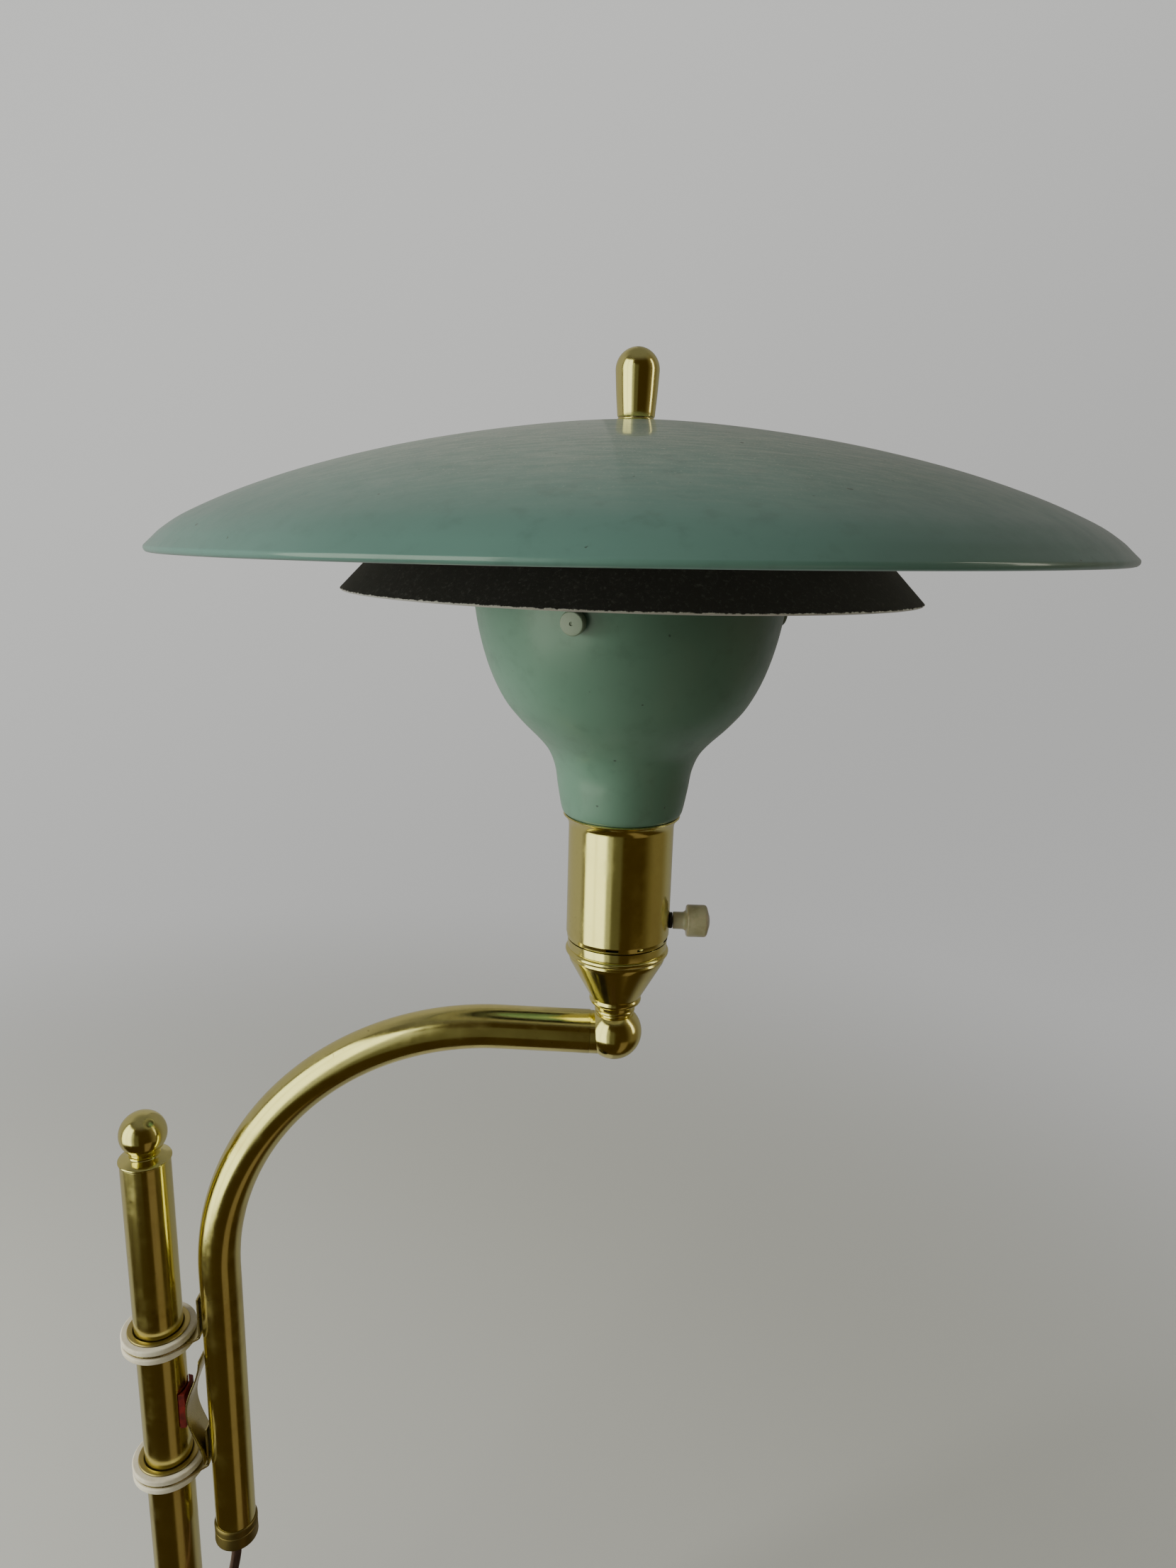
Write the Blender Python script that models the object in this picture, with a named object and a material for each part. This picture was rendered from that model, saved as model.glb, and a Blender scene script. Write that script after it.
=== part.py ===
"""Swing arm desk lamp: a weighted round base, a brass post, and a bent brass arm that slides
on the post and swings about it. The arm carries a turn-knob lamp socket, a tulip bowl and a
saucer shade with a dark baffle ring under it.

Lengths in this file are millimetres and are turned into metres when a mesh is made. +Z is up.
The post's axis is the Z axis, the table top is z = 0 and the arm points along +X.
"""

import math

import bmesh
import bpy
from mathutils import Vector

MM = 0.001
GAP = 0.3  # between two pieces that touch

# Driving sizes, in millimetres.
SHADE_R = 178.0  # a 14 inch shade
SHADE_RIM_Z = 680.0
SHADE_SHEET = 0.8
SHADE_LEAN_DEG = 0.75  # the shade sits a little askew on its hub

POST_R = 11.11  # 7/8 inch tube
POST_BORE = 10.1
POST_FOOT_Z = 40.3
POST_TOP_Z = 403.3
POST_BALL_R = 10.6
POST_BALL_Z = 416.5
ROD_R = 4.7  # the tie rod that clamps the base, post and ball together
ROD_WAY = 5.1  # the hole that clears it

TUBE_R = 9.525  # 3/4 inch arm tube
TUBE_BORE = 8.3
ARM_X = 31.0
BEND_R = 128.0
BEND_DEG = 91.5  # the arm's straight end falls slightly towards the head
ARM_FOOT_Z = 193.0
TUBE_END = 9.6  # the straight end stops this far from the head's axis

HEAD_X = 212.0
BALL_R = 11.45
BALL_Z = 473.2
CUP_FOOT_Z = 488.0
SHELL_R = 22.0
SHELL_FOOT_Z = 518.6
SHELL_TOP_Z = 572.6
KNOB_Z = 526.4
KNOB_R = 6.9
NIPPLE_WAY = 5.2  # the hole that clears the threaded nipple

BOWL_FOOT_Z = 573.6
BOWL_TOP_Z = 666.0
SCREW_Z = 656.6
SCREW_TURNS_DEG = (-109.4, 10.6, 130.6)

STRUT_W = 9.0
STRUT_T = 1.2

BAFFLE_R = 112.3
BAFFLE_FOOT_Z = 665.0
BAFFLE_TOP_R = 84.0

UPPER_CLIP_Z = 310.1
LOWER_CLIP_Z = 236.4
WASHER_R = 17.0
WASHER_T = 3.0
FLANGE_T = 1.0
EYELET_R = 13.3
EYELET_PLAY = 0.4
LEG_HIGH = 22.0

BASE_R = 114.0
CORD_W = 5.4

COIL_X, COIL_Y = 184.0, -62.0
COIL_R = 31.0  # at the middle of its turns
COIL_BUNDLE = 11.6
COIL_HIGH = 11.0

# The flex's route, from the arm's foot down to the base, across it and along to the coil.
CORD_ROUTE = (
    (31.0, 0.0, 192.5),
    (30.9, -0.3, 186.0),
    (30.2, -2.4, 177.0),
    (28.4, -7.5, 167.0),
    (25.8, -15.0, 157.5),
    (23.2, -23.5, 149.0),
    (21.2, -32.0, 139.5),
    (20.2, -40.0, 126.0),
    (20.8, -47.0, 109.0),
    (23.0, -53.0, 90.0),
    (27.5, -59.5, 71.0),
    (34.5, -67.0, 54.0),
    (44.5, -75.5, 40.5),
    (57.5, -83.5, 30.5),
    (72.0, -90.5, 20.5),
    (87.0, -95.5, 10.5),
    (101.5, -98.5, 4.6),
    (118.0, -99.8, 3.1),
    (136.0, -100.0, 3.0),
    (154.0, -99.8, 3.0),
    (169.0, -99.6, 3.0),
)
CORD_SPLIT = 5  # the route's point where the hanging flex stops following the arm's swing
# The flex's last stretch, from the coil to its plug.
TAIL_ROUTE = (
    (223.0, -51.0, 3.1),
    (221.4, -43.0, 3.6),
    (221.2, -34.0, 5.2),
    (221.9, -25.0, 6.7),
    (222.0, -18.3, 7.0),
)
PLUG_X, PLUG_Y, PLUG_Z = 222.0, -18.0, 7.0
PLUG_LONG = 27.0
BLADE_PITCH = 12.7


def clear_scene():
    for item in list(bpy.data.objects):
        bpy.data.objects.remove(item, do_unlink=True)


def material(name, colour, roughness, metallic):
    made = bpy.data.materials.new(name)
    made.use_nodes = True
    shader = made.node_tree.nodes["Principled BSDF"]
    shader.inputs["Base Color"].default_value = (*colour, 1.0)
    shader.inputs["Roughness"].default_value = roughness
    shader.inputs["Metallic"].default_value = metallic
    return made


def empty(name, place, parent=None):
    """An axis that pieces hang from; place is in its parent's space."""
    made = bpy.data.objects.new(name, None)
    made.location = Vector(place) * MM
    made.parent = parent
    bpy.context.scene.collection.objects.link(made)
    return made


def add(name, shape, finish, parent=None, place=(0, 0, 0), turn=(0, 0, 0)):
    """Make the node from a bmesh in metres, and put it in its parent's space."""
    bmesh.ops.recalc_face_normals(shape, faces=shape.faces)
    mesh = bpy.data.meshes.new(name)
    shape.to_mesh(mesh)
    shape.free()
    mesh.materials.append(finish)
    mesh.shade_smooth()
    mesh.set_sharp_from_angle(angle=math.radians(35))
    made = bpy.data.objects.new(name, mesh)
    made.location = Vector(place) * MM
    made.rotation_euler = [math.radians(a) for a in turn]
    made.parent = parent
    bpy.context.scene.collection.objects.link(made)
    return made


def spun(profile, steps=24):
    """A solid turned about Z from (radius, height) points: a closed loop, or a line whose two
    ends lie on the axis."""
    shape = bmesh.new()
    points = [shape.verts.new((r * MM, 0, z * MM)) for r, z in profile]
    edges = [shape.edges.new(pair) for pair in zip(points, points[1:], strict=False)]
    if profile[0][0] > 0:
        edges.append(shape.edges.new((points[-1], points[0])))
    bmesh.ops.spin(
        shape, geom=points + edges, cent=(0, 0, 0), axis=(0, 0, 1), angle=math.tau, steps=steps,
        use_merge=True,
    )
    bmesh.ops.remove_doubles(shape, verts=shape.verts, dist=1e-7)
    return shape


def arc(centre_r, centre_z, radius, first_deg, last_deg, count):
    """Points on a round stretch of a profile, both ends included."""
    turns = [math.radians(first_deg + (last_deg - first_deg) * i / (count - 1)) for i in range(count)]
    return [(centre_r + radius * math.cos(t), centre_z + radius * math.sin(t)) for t in turns]


def ring(inner, outer, low, high, edge=0.0):
    """The profile of a plain ring, with its two outer corners cut by edge."""
    if edge == 0:
        return [(inner, low), (outer, low), (outer, high), (inner, high)]
    return [
        (inner, low), (outer - edge, low), (outer, low + edge), (outer, high - edge),
        (outer - edge, high), (inner, high),
    ]


def smooth_line(points, share=4):
    """Points on a smooth curve through the given ones, share of them to each stretch."""
    knots = [Vector(p) for p in points]
    knots = [2 * knots[0] - knots[1], *knots, 2 * knots[-1] - knots[-2]]
    line = []
    for a, b, c, d in zip(knots, knots[1:], knots[2:], knots[3:], strict=False):
        for i in range(share):
            t = i / share
            line.append(
                0.5 * (2 * b + (c - a) * t + (2 * a - 5 * b + 4 * c - d) * t * t
                       + (3 * b - a - 3 * c + d) * t ** 3)
            )
    line.append(knots[-2])
    return [tuple(p) for p in line]


def sheet(outline, thickness):
    """The closed profile of a sheet-metal wall: the outline, and the same line set inwards.
    The outline runs from the middle of the piece outwards, with the wall below or inside it."""
    line = [Vector(p) for p in outline]
    inner = []
    for i, point in enumerate(line):
        before = line[max(i - 1, 0)]
        after = line[min(i + 1, len(line) - 1)]
        along = (after - before).normalized()
        inner.append(point + thickness * Vector((along.y, -along.x)))
    return [tuple(p) for p in line + inner[::-1]]


def swept(path, radius, bore, sides):
    """A tube along path, a list of (point, direction) in the XZ plane, open at both ends."""
    shape = bmesh.new()
    rings = []
    for point, along in path:
        across = Vector((along.z, 0, -along.x))
        pair = []
        for r in (radius, bore):
            turns = [math.tau * i / sides for i in range(sides)]
            spokes = [math.cos(t) * across + math.sin(t) * Vector((0, 1, 0)) for t in turns]
            pair.append([shape.verts.new((point + r * spoke) * MM) for spoke in spokes])
        rings.append(pair)
    for near, far in zip(rings, rings[1:], strict=False):
        for wall in (0, 1):
            for i in range(sides):
                j = (i + 1) % sides
                shape.faces.new((near[wall][i], near[wall][j], far[wall][j], far[wall][i]))
    for pair in (rings[0], rings[-1]):
        for i in range(sides):
            j = (i + 1) % sides
            shape.faces.new((pair[0][i], pair[0][j], pair[1][j], pair[1][i]))
    return shape


def slab(outline, low, high):
    """A plate: a flat outline in X and Y, raised from low to high."""
    shape = bmesh.new()
    bottom = shape.faces.new([shape.verts.new((x * MM, y * MM, low * MM)) for x, y in outline])
    raised = bmesh.ops.extrude_face_region(shape, geom=[bottom])["geom"]
    top = [v for v in raised if isinstance(v, bmesh.types.BMVert)]
    bmesh.ops.translate(shape, verts=top, vec=(0, 0, (high - low) * MM))
    return shape


def strap(line, width, thickness):
    """A bent strap: a line of (x, z) points, thickened to its left and centred on y = 0."""
    points = [Vector(p) for p in line]
    other = []
    for i, point in enumerate(points):
        along = (points[min(i + 1, len(points) - 1)] - points[max(i - 1, 0)]).normalized()
        other.append(point + thickness * Vector((-along.y, along.x)))
    shape = bmesh.new()
    halves = []
    for y in (-width / 2, width / 2):
        halves.append([
            [shape.verts.new((p.x * MM, y * MM, p.y * MM)) for p in points],
            [shape.verts.new((p.x * MM, y * MM, p.y * MM)) for p in other],
        ])
    (a, b), (c, d) = halves
    last = len(points) - 1
    for i in range(last):
        shape.faces.new((a[i], a[i + 1], b[i + 1], b[i]))
        shape.faces.new((c[i], c[i + 1], d[i + 1], d[i]))
        shape.faces.new((a[i], a[i + 1], c[i + 1], c[i]))
        shape.faces.new((b[i], b[i + 1], d[i + 1], d[i]))
    for i in (0, last):
        shape.faces.new((a[i], b[i], d[i], c[i]))
    return shape


def cut(target, cutter):
    """Take the cutter out of the target with a Boolean, and hide the cutter."""
    cutter.hide_render = True
    cutter.display_type = "WIRE"
    made = target.modifiers.new("cut", "BOOLEAN")
    made.operation = "DIFFERENCE"
    made.object = cutter
    made.solver = "EXACT"


def join(target, other):
    """Add the other solid to the target with a Boolean, and hide the other."""
    cut(target, other)
    target.modifiers[-1].operation = "UNION"


clear_scene()

ENAMEL = material("green enamel", (0.19, 0.33, 0.27), 0.38, 0.0)
BRASS = material("polished brass", (0.80, 0.58, 0.25), 0.16, 1.0)
DULL_BRASS = material("aged brass", (0.42, 0.34, 0.16), 0.42, 1.0)
BLACK = material("black wrinkle paint", (0.015, 0.015, 0.016), 0.6, 0.0)
STEEL = material("plated steel", (0.62, 0.62, 0.60), 0.35, 1.0)
IRON = material("cast iron", (0.10, 0.10, 0.10), 0.7, 1.0)
FELT = material("green felt", (0.05, 0.10, 0.07), 0.95, 0.0)
NYLON = material("cream washer", (0.78, 0.74, 0.66), 0.5, 0.0)
RED = material("red fibre", (0.35, 0.03, 0.02), 0.6, 0.0)
IVORY = material("ivory plastic", (0.66, 0.62, 0.47), 0.35, 0.0)
PHENOLIC = material("black phenolic", (0.02, 0.018, 0.016), 0.4, 0.0)
GLASS = material("frosted glass", (0.9, 0.9, 0.88), 0.5, 0.0)
FLEX = material("brown flex", (0.10, 0.045, 0.03), 0.55, 0.0)

stand = empty("stand_axis", (0, 0, 0))
guide = empty("guide_axis", (0, 0, LOWER_CLIP_Z), stand)
arm = empty("arm_axis", (0, 0, -LOWER_CLIP_Z), guide)
head = empty("head_axis", (HEAD_X, 0, 0), arm)
knob = empty("knob_axis", (0, 0, KNOB_Z), head)


# ---- The base and the post -------------------------------------------------------------

def make_base():
    dome = smooth_line(
        ((5.4, 40.0), (30.0, 38.6), (54.0, 34.6), (76.0, 28.0), (94.0, 20.5), (107.0, 12.2),
         (112.6, 6.8)),
        share=1,
    )
    dome.append((BASE_R, 2.6))
    add("base_shell", spun(sheet(dome, 1.2), 40), ENAMEL, stand)
    weight = [(5.3, 12.4), (15.0, 12.4), (15.0, 2.6), (100.0, 2.6), (100.0, 8.0), (86.0, 17.0),
              (40.0, 28.0), (5.3, 30.0)]
    add("base_weight", spun(weight, 32), IRON, stand)
    add("base_felt", spun([(0, 0), (108.0, 0), (108.0, 2.2), (0, 2.2)], 32), FELT, stand)
    bore, seat = POST_R + 0.4, POST_FOOT_Z + 0.1
    collar = [(bore, seat), (18.6, seat), (18.2, seat + 2.2), (14.4, seat + 4.0), (13.4, seat + 8.2),
              (bore, seat + 8.2)]
    add("base_collar", spun(collar, 24), BRASS, stand)


def make_post():
    add("post_tube", spun(ring(POST_BORE, POST_R, POST_FOOT_Z, POST_TOP_Z), 32), BRASS, stand)
    rod_foot, rod_top, chamfer = 6.0, POST_BALL_Z - 2.0, 0.5
    rod = [(0, rod_foot), (ROD_R - chamfer, rod_foot), (ROD_R, rod_foot + chamfer),
           (ROD_R, rod_top - chamfer), (ROD_R - chamfer, rod_top), (0, rod_top)]
    add("tie_rod", spun(rod, 16), STEEL, stand)
    add("rod_washer", spun(ring(ROD_WAY, 9.0, 10.9, 12.1), 20), STEEL, stand)
    corner = 1 / math.cos(math.pi / 6)
    add("rod_nut", spun(ring(ROD_WAY * corner, 8.5 * corner, 4.4, 10.6), 6), STEEL, stand)
    top = POST_TOP_Z + GAP
    plug_r = POST_BORE - 0.35
    neck_r = 6.7
    flange = [(ROD_WAY, top - 8.0), (plug_r, top - 8.0), (plug_r, top), (11.7, top), (11.7, top + 1.1),
              (10.6, top + 2.0), (8.4, top + 2.6), (neck_r + 0.4, top + 3.1), (ROD_WAY, top + 3.1)]
    add("post_flange", spun(flange, 24), BRASS, stand)
    neck_z = top + 3.1 + GAP
    low = -math.degrees(math.acos((neck_r + 0.3) / POST_BALL_R))
    socket_z = rod_top + 1.0
    ball = [(0, socket_z), (ROD_WAY, socket_z), (ROD_WAY, neck_z), (neck_r, neck_z)]
    ball += arc(0, POST_BALL_Z, POST_BALL_R, low, 90, 8)
    ball[-1] = (0, POST_BALL_Z + POST_BALL_R)
    add("post_ball", spun(ball, 24), BRASS, stand)


# ---- The two clips, the leaf spring and the arm ----------------------------------------

def make_clip(name, clip_z):
    """An eyelet on the post, and a flange with a leg along the arm, between two washers."""
    middle = clip_z - LOWER_CLIP_Z
    eyelet = ring(POST_R + EYELET_PLAY, EYELET_R, middle - 4.4, middle + 4.7)
    add(f"{name}_eyelet", spun(eyelet, 24), BRASS, guide)
    bore = EYELET_R + GAP
    above = clip_z + FLANGE_T / 2 + GAP
    below = clip_z - FLANGE_T / 2 - GAP - WASHER_T
    for side, low in (("top", above), ("bottom", below)):
        profile = ring(bore, WASHER_R, low, low + WASHER_T, 0.8)
        add(f"{name}_washer_{side}", spun(profile, 24), NYLON, arm)

    disc_r = WASHER_R - 0.8
    tip = Vector((ARM_X - TUBE_R - GAP, 4.2))
    tangent = math.atan2(tip.y, tip.x) + math.acos(disc_r / tip.length)
    rim = arc(0, 0, disc_r, math.degrees(tangent), 360 - math.degrees(tangent), 17)
    plate = add(
        f"{name}_flange",
        slab([(tip.x, -tip.y), (tip.x, tip.y), *rim], clip_z - FLANGE_T / 2, clip_z + FLANGE_T / 2),
        BRASS, arm,
    )
    leg = [(tip.x - FLANGE_T, -tip.y), (tip.x, -tip.y), (tip.x, tip.y), (tip.x - FLANGE_T, tip.y)]
    upright = slab(leg, clip_z - FLANGE_T / 4, clip_z + LEG_HIGH)
    join(plate, add(f"{name}_flange_leg", upright, BRASS, arm))
    hole = [(0, clip_z - 3), (bore, clip_z - 3), (bore, clip_z + 3), (0, clip_z + 3)]
    cut(plate, add(f"{name}_flange_hole", spun(hole, 24), BRASS, arm))


def make_brake():
    """A bowed leaf spring between the clips, and the pad that it holds against the post."""
    middle = (UPPER_CLIP_Z + LOWER_CLIP_Z) / 2 - 3.2
    reach, crown, leaf = 29.7, 13.3, 0.8
    feet = {-1: ARM_X - TUBE_R - GAP - FLANGE_T - 0.4, 1: ARM_X - TUBE_R - 0.5}  # lower, upper
    line = []
    for i in range(17):
        t = -1 + i / 8
        bow = (1 - math.cos(math.pi * abs(t))) / 2
        line.append((crown + (feet[-1 if t < 0 else 1] - crown) * bow, middle + reach * t))
    add("brake_spring", strap(line, 14.0, leaf), BRASS, arm)
    hug, half = POST_R + EYELET_PLAY, 6.8
    edge = math.degrees(math.asin(half / hug))
    face = arc(0, 0, hug, -edge, edge, 9)
    back = crown - leaf - GAP
    pad = [*face, (back, half), (back, -half)]
    add("brake_pad", slab(pad, middle - 9.0, middle + 10.5), RED, arm)


def arm_path():
    """Points and directions along the arm tube: up, round the bend and out to the ball."""
    turn = math.radians(BEND_DEG)
    centre_x = ARM_X + BEND_R
    end_x = centre_x - BEND_R * math.cos(turn)
    fall = math.tan(turn - math.pi / 2)
    centre_z = BALL_Z + fall * (HEAD_X - end_x) - BEND_R * math.sin(turn)
    path = [(Vector((ARM_X, 0, ARM_FOOT_Z)), Vector((0, 0, 1)))]
    steps = 11
    for i in range(steps + 1):
        a = turn * i / steps
        point = Vector((centre_x - BEND_R * math.cos(a), 0, centre_z + BEND_R * math.sin(a)))
        path.append((point, Vector((math.sin(a), 0, math.cos(a)))))
    along = path[-1][1]
    path.append((Vector((HEAD_X, 0, BALL_Z)) - TUBE_END * along, along))
    return path


def make_arm():
    add("arm_tube", swept(arm_path(), TUBE_R, TUBE_BORE, 16), BRASS, arm)
    foot = ARM_FOOT_Z - GAP
    side = TUBE_R + GAP
    cap = [(4.3, foot - 1.5), (9.7, foot - 1.5), (10.4, foot - 0.8), (10.4, foot + 9.2),
           (10.1, foot + 9.8), (side, foot + 9.8), (side, foot), (4.3, foot)]
    add("arm_end_cap", spun(cap, 24), DULL_BRASS, arm, place=(ARM_X, 0, 0))
    low = foot - 1.5 - GAP
    bush = [(3.1, low - 1.3), (5.6, low - 1.3), (6.0, low - 0.7), (6.0, low), (4.0, low),
            (4.0, foot + 2.5), (3.1, foot + 2.5)]
    add("cord_bush", spun(bush, 20), PHENOLIC, arm, place=(ARM_X, 0, 0))


# ---- The lamp holder and its switch ----------------------------------------------------

def make_fitting():
    seat_r = 8.9
    seat = math.sqrt(BALL_R ** 2 - seat_r ** 2)
    high = math.degrees(math.asin(seat / BALL_R))
    ball = [(0, BALL_Z - BALL_R), *arc(0, BALL_Z, BALL_R, -72, high, 8), (NIPPLE_WAY, BALL_Z + seat),
            (NIPPLE_WAY, BALL_Z - 4.0), (0, BALL_Z - 4.0)]
    made = add("ball_fitting", spun(ball, 24), BRASS, head)
    centre = (0, 0, BALL_Z)
    towards_arm = (0, -180 + BEND_DEG, 0)
    spigot = spun([(0, 6.2), (7.1, 6.2), (7.1, 19.0), (0, 19.0)], 16)
    join(made, add("ball_spigot", spigot, BRASS, head, place=centre, turn=towards_arm))
    wire_way = spun([(0, 0), (4.4, 0), (4.4, 24.0), (0, 24.0)], 16)
    cut(made, add("ball_wire_way", wire_way, BRASS, head, place=centre, turn=towards_arm))
    add("socket_nipple", spun(ring(3.8, 4.9, BALL_Z - 3.0, CUP_FOOT_Z + 7.0), 16), STEEL, head)
    low = BALL_Z + seat + GAP
    necks = [(NIPPLE_WAY, low), (9.0, low), (9.0, low + 1.6), (8.2, low + 2.9), (8.2, low + 3.8),
             (8.6, low + 4.5), (8.6, CUP_FOOT_Z - GAP), (NIPPLE_WAY, CUP_FOOT_Z - GAP)]
    add("neck_ring", spun(necks, 24), BRASS, head)


def make_holder():
    z = CUP_FOOT_Z
    outside = [(NIPPLE_WAY, z), (9.4, z), (10.6, z + 1.4), (11.2, z + 3.6), (16.0, z + 10.9),
               (20.5, z + 20.8), (22.1, z + 25.2), (21.8, z + 27.0), (21.8, SHELL_FOOT_Z - GAP)]
    add("socket_cup", spun(sheet(outside, -1.1), 28), BRASS, head)
    z, top = SHELL_FOOT_Z, SHELL_TOP_Z
    outside = [(SHELL_R - 0.5, z), (SHELL_R, z + 2.0), (SHELL_R, top - 3.4), (SHELL_R + 2.4, top)]
    shell = add("socket_shell", spun(sheet(outside, -0.8), 28), BRASS, head)
    hole = spun([(0, 15.0), (3.2, 15.0), (3.2, 30.0), (0, 30.0)], 16)
    cut(shell, add("knob_hole", hole, BRASS, knob, turn=(0, 90, 0)))
    z = SHELL_FOOT_Z + 1.6
    body_top = z + 41.5
    profile = [(0, z), (19.3, z), (19.3, z + 36.0), (15.2, body_top), (0, body_top)]
    body = add("socket_body", spun(profile, 20), PHENOLIC, head)
    bore = spun([(0, 6.0), (2.1, 6.0), (2.1, 22.0), (0, 22.0)], 16)
    cut(body, add("spindle_bore", bore, BRASS, knob, turn=(0, 90, 0)))
    seat = body_top + GAP
    cap_top = seat + 28.0
    add("screw_shell", spun(ring(13.4, 14.2, seat, cap_top), 20), STEEL, head)
    cap = [(0, seat + 0.8), (4.5, seat + 0.8), (12.9, seat + 4.8), (12.9, cap_top - 0.4),
           (0, cap_top - 0.4)]
    add("bulb_cap", spun(cap, 20), STEEL, head)
    glass = smooth_line(
        ((12.4, cap_top), (13.8, cap_top + 8.0), (21.4, cap_top + 20.0), (28.6, cap_top + 33.0),
         (29.4, cap_top + 48.0), (22.4, cap_top + 63.5), (10.0, cap_top + 72.6)),
        share=1,
    )
    outside = [*glass, (0, cap_top + 74.6)]
    inside = [(0, cap_top + 73.6), *[(r - 0.8, h - 0.5) for r, h in glass[:0:-1]], (11.6, cap_top)]
    add("bulb_glass", spun(outside[::-1] + inside[::-1], 24), GLASS, head)


def make_switch():
    sideways = (0, 90, 0)
    bush = ring(1.9, 2.9, SHELL_R - 2.3, SHELL_R + 1.2)
    add("knob_bush", spun(bush, 16), PHENOLIC, head, place=(0, 0, KNOB_Z), turn=sideways)
    spindle = spun([(0, 8.0), (1.5, 8.0), (1.5, 32.4), (0, 32.4)], 12)
    add("knob_spindle", spindle, STEEL, knob, turn=sideways)
    near = SHELL_R + 1.5
    profile = [(0, near + 9.4), (1.9, near + 9.4), (1.9, near), (3.7, near), (3.7, near + 4.4),
               (KNOB_R, near + 6.2), (KNOB_R, near + 13.6), (5.6, near + 15.2), (0, near + 15.8)]
    add("switch_knob", spun(profile, 20), IVORY, knob, turn=sideways)


# ---- The bowl, the struts, the baffle ring and the shade -------------------------------

def make_bowl():
    z = BOWL_FOOT_Z
    outside = [(16.0, z), (23.6, z), (25.2, z + 2.4), (27.0, z + 12.0), (28.2, z + 19.6),
               (30.8, z + 26.4), (35.0, z + 31.8), (43.0, z + 39.8), (49.8, z + 48.2), (55.6, z + 60.0),
               (59.8, z + 75.0), (62.6, BOWL_TOP_Z)]
    bowl = add("bowl", spun(sheet(outside, -0.9), 32), ENAMEL, head)
    for i, turn in enumerate(SCREW_TURNS_DEG):
        pivot = empty(f"strut_{i}_axis", (0, 0, 0), head)
        pivot.rotation_euler.z = math.radians(turn)
        face = (62.9, 0, SCREW_Z)
        lean = (0, 98, 0)
        screw = [(0, -7.0), (2.0, -7.0), (2.0, 0), (4.5, 0), (4.5, 2.6), (0, 2.6)]
        add(f"bowl_screw_{i}", spun(screw, 16), ENAMEL, pivot, place=face, turn=lean)
        hole = add(f"bowl_hole_{i}", spun([(0, -9.0), (2.5, -9.0), (2.5, 1.0), (0, 1.0)], 12), STEEL,
                   pivot, place=face, turn=lean)
        cut(bowl, hole)
        line = [(57.5, 646.0), (60.2, 662.0), (60.4, 676.0), (59.3, 688.0), (55.8, 699.0),
                (49.5, 707.0), (40.0, 713.0), (27.0, 718.2), (14.5, 721.8), (7.6, 722.4)]
        strut = add(f"strut_{i}", strap(line, STRUT_W, STRUT_T), STEEL, pivot)
        cut(strut, hole)
        line = [(82.5, 692.3), (64.5, 692.3), (62.0, 690.6), (61.3, 687.0), (61.1, 675.0)]
        add(f"baffle_bracket_{i}", strap(line, STRUT_W, STRUT_T), STEEL, pivot)


def make_baffle():
    foot, top_r = BAFFLE_FOOT_Z, BAFFLE_TOP_R
    top = foot + (BAFFLE_R - top_r)
    outside = [(top_r - 5.0, top + 0.6), (top_r, top + 0.4), (top_r + 2.0, top - 1.4), (BAFFLE_R, foot)]
    add("baffle_ring", spun(sheet(outside, 0.9), 40), BLACK, head)


def make_shade():
    stud = [(0, 716.0), (6.0, 716.0), (6.0, 719.4), (3.1, 719.4), (3.1, 748.0), (0, 748.0)]
    add("shade_stud", spun(stud, 16), STEEL, head)
    add("spider_hub", spun(ring(3.6, 15.0, 723.0, 724.8), 24), STEEL, head)
    crown = smooth_line(
        ((4.2, 48.4), (32.0, 46.1), (62.0, 41.8), (92.0, 36.0), (121.0, 28.4), (145.0, 20.1),
         (163.0, 12.0), (171.5, 6.6), (176.4, 2.0)),
        share=1,
    )
    bead = arc(SHADE_R - 1.5, 0, 1.5, 0, -180, 4)
    inner = sheet(crown[:-1], SHADE_SHEET)[len(crown) - 1:]
    profile = [(r, z + SHADE_RIM_Z) for r, z in [*crown, *bead, *inner]]
    seat = SHADE_RIM_Z + 48.0
    lowered = [(r, z - seat) for r, z in profile]
    add("shade", spun(lowered, 44), ENAMEL, head, place=(0, 0, seat), turn=(0, -SHADE_LEAN_DEG, 0))
    seat_z = SHADE_RIM_Z + 48.9
    add("finial_washer", spun(ring(3.6, 7.0, seat_z, seat_z + 0.9), 16), BRASS, head)
    z = seat_z + 0.9 + GAP
    finial = [(0, z + 18.6), (3.5, z + 18.6), (3.5, z), (7.2, z), (8.0, z + 9.0), (8.4, z + 17.4),
              (7.7, z + 21.0), (6.0, z + 23.6), (3.4, z + 25.1), (0, z + 25.5)]
    add("finial", spun(finial, 24), BRASS, head)


# ---- The flex and its plug -------------------------------------------------------------

def cord_tube(name, points, parent):
    """A plain round tube along points, as a curve with filled ends."""
    curve = bpy.data.curves.new(name, "CURVE")
    curve.dimensions = "3D"
    curve.bevel_depth = CORD_W / 2 * MM
    curve.bevel_resolution = 2
    curve.use_fill_caps = True
    spline = curve.splines.new("POLY")
    spline.points.add(len(points) - 1)
    for knot, point in zip(spline.points, points, strict=True):
        knot.co = (*(Vector(point) * MM), 1.0)
    curve.materials.append(FLEX)
    made = bpy.data.objects.new(name, curve)
    made.parent = parent
    bpy.context.scene.collection.objects.link(made)
    return made


def shorter(points, by):
    """The same line with its first point moved along by this much."""
    first, second = Vector(points[0]), Vector(points[1])
    return [tuple(first + by * (second - first).normalized()), *points[1:]]


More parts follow.
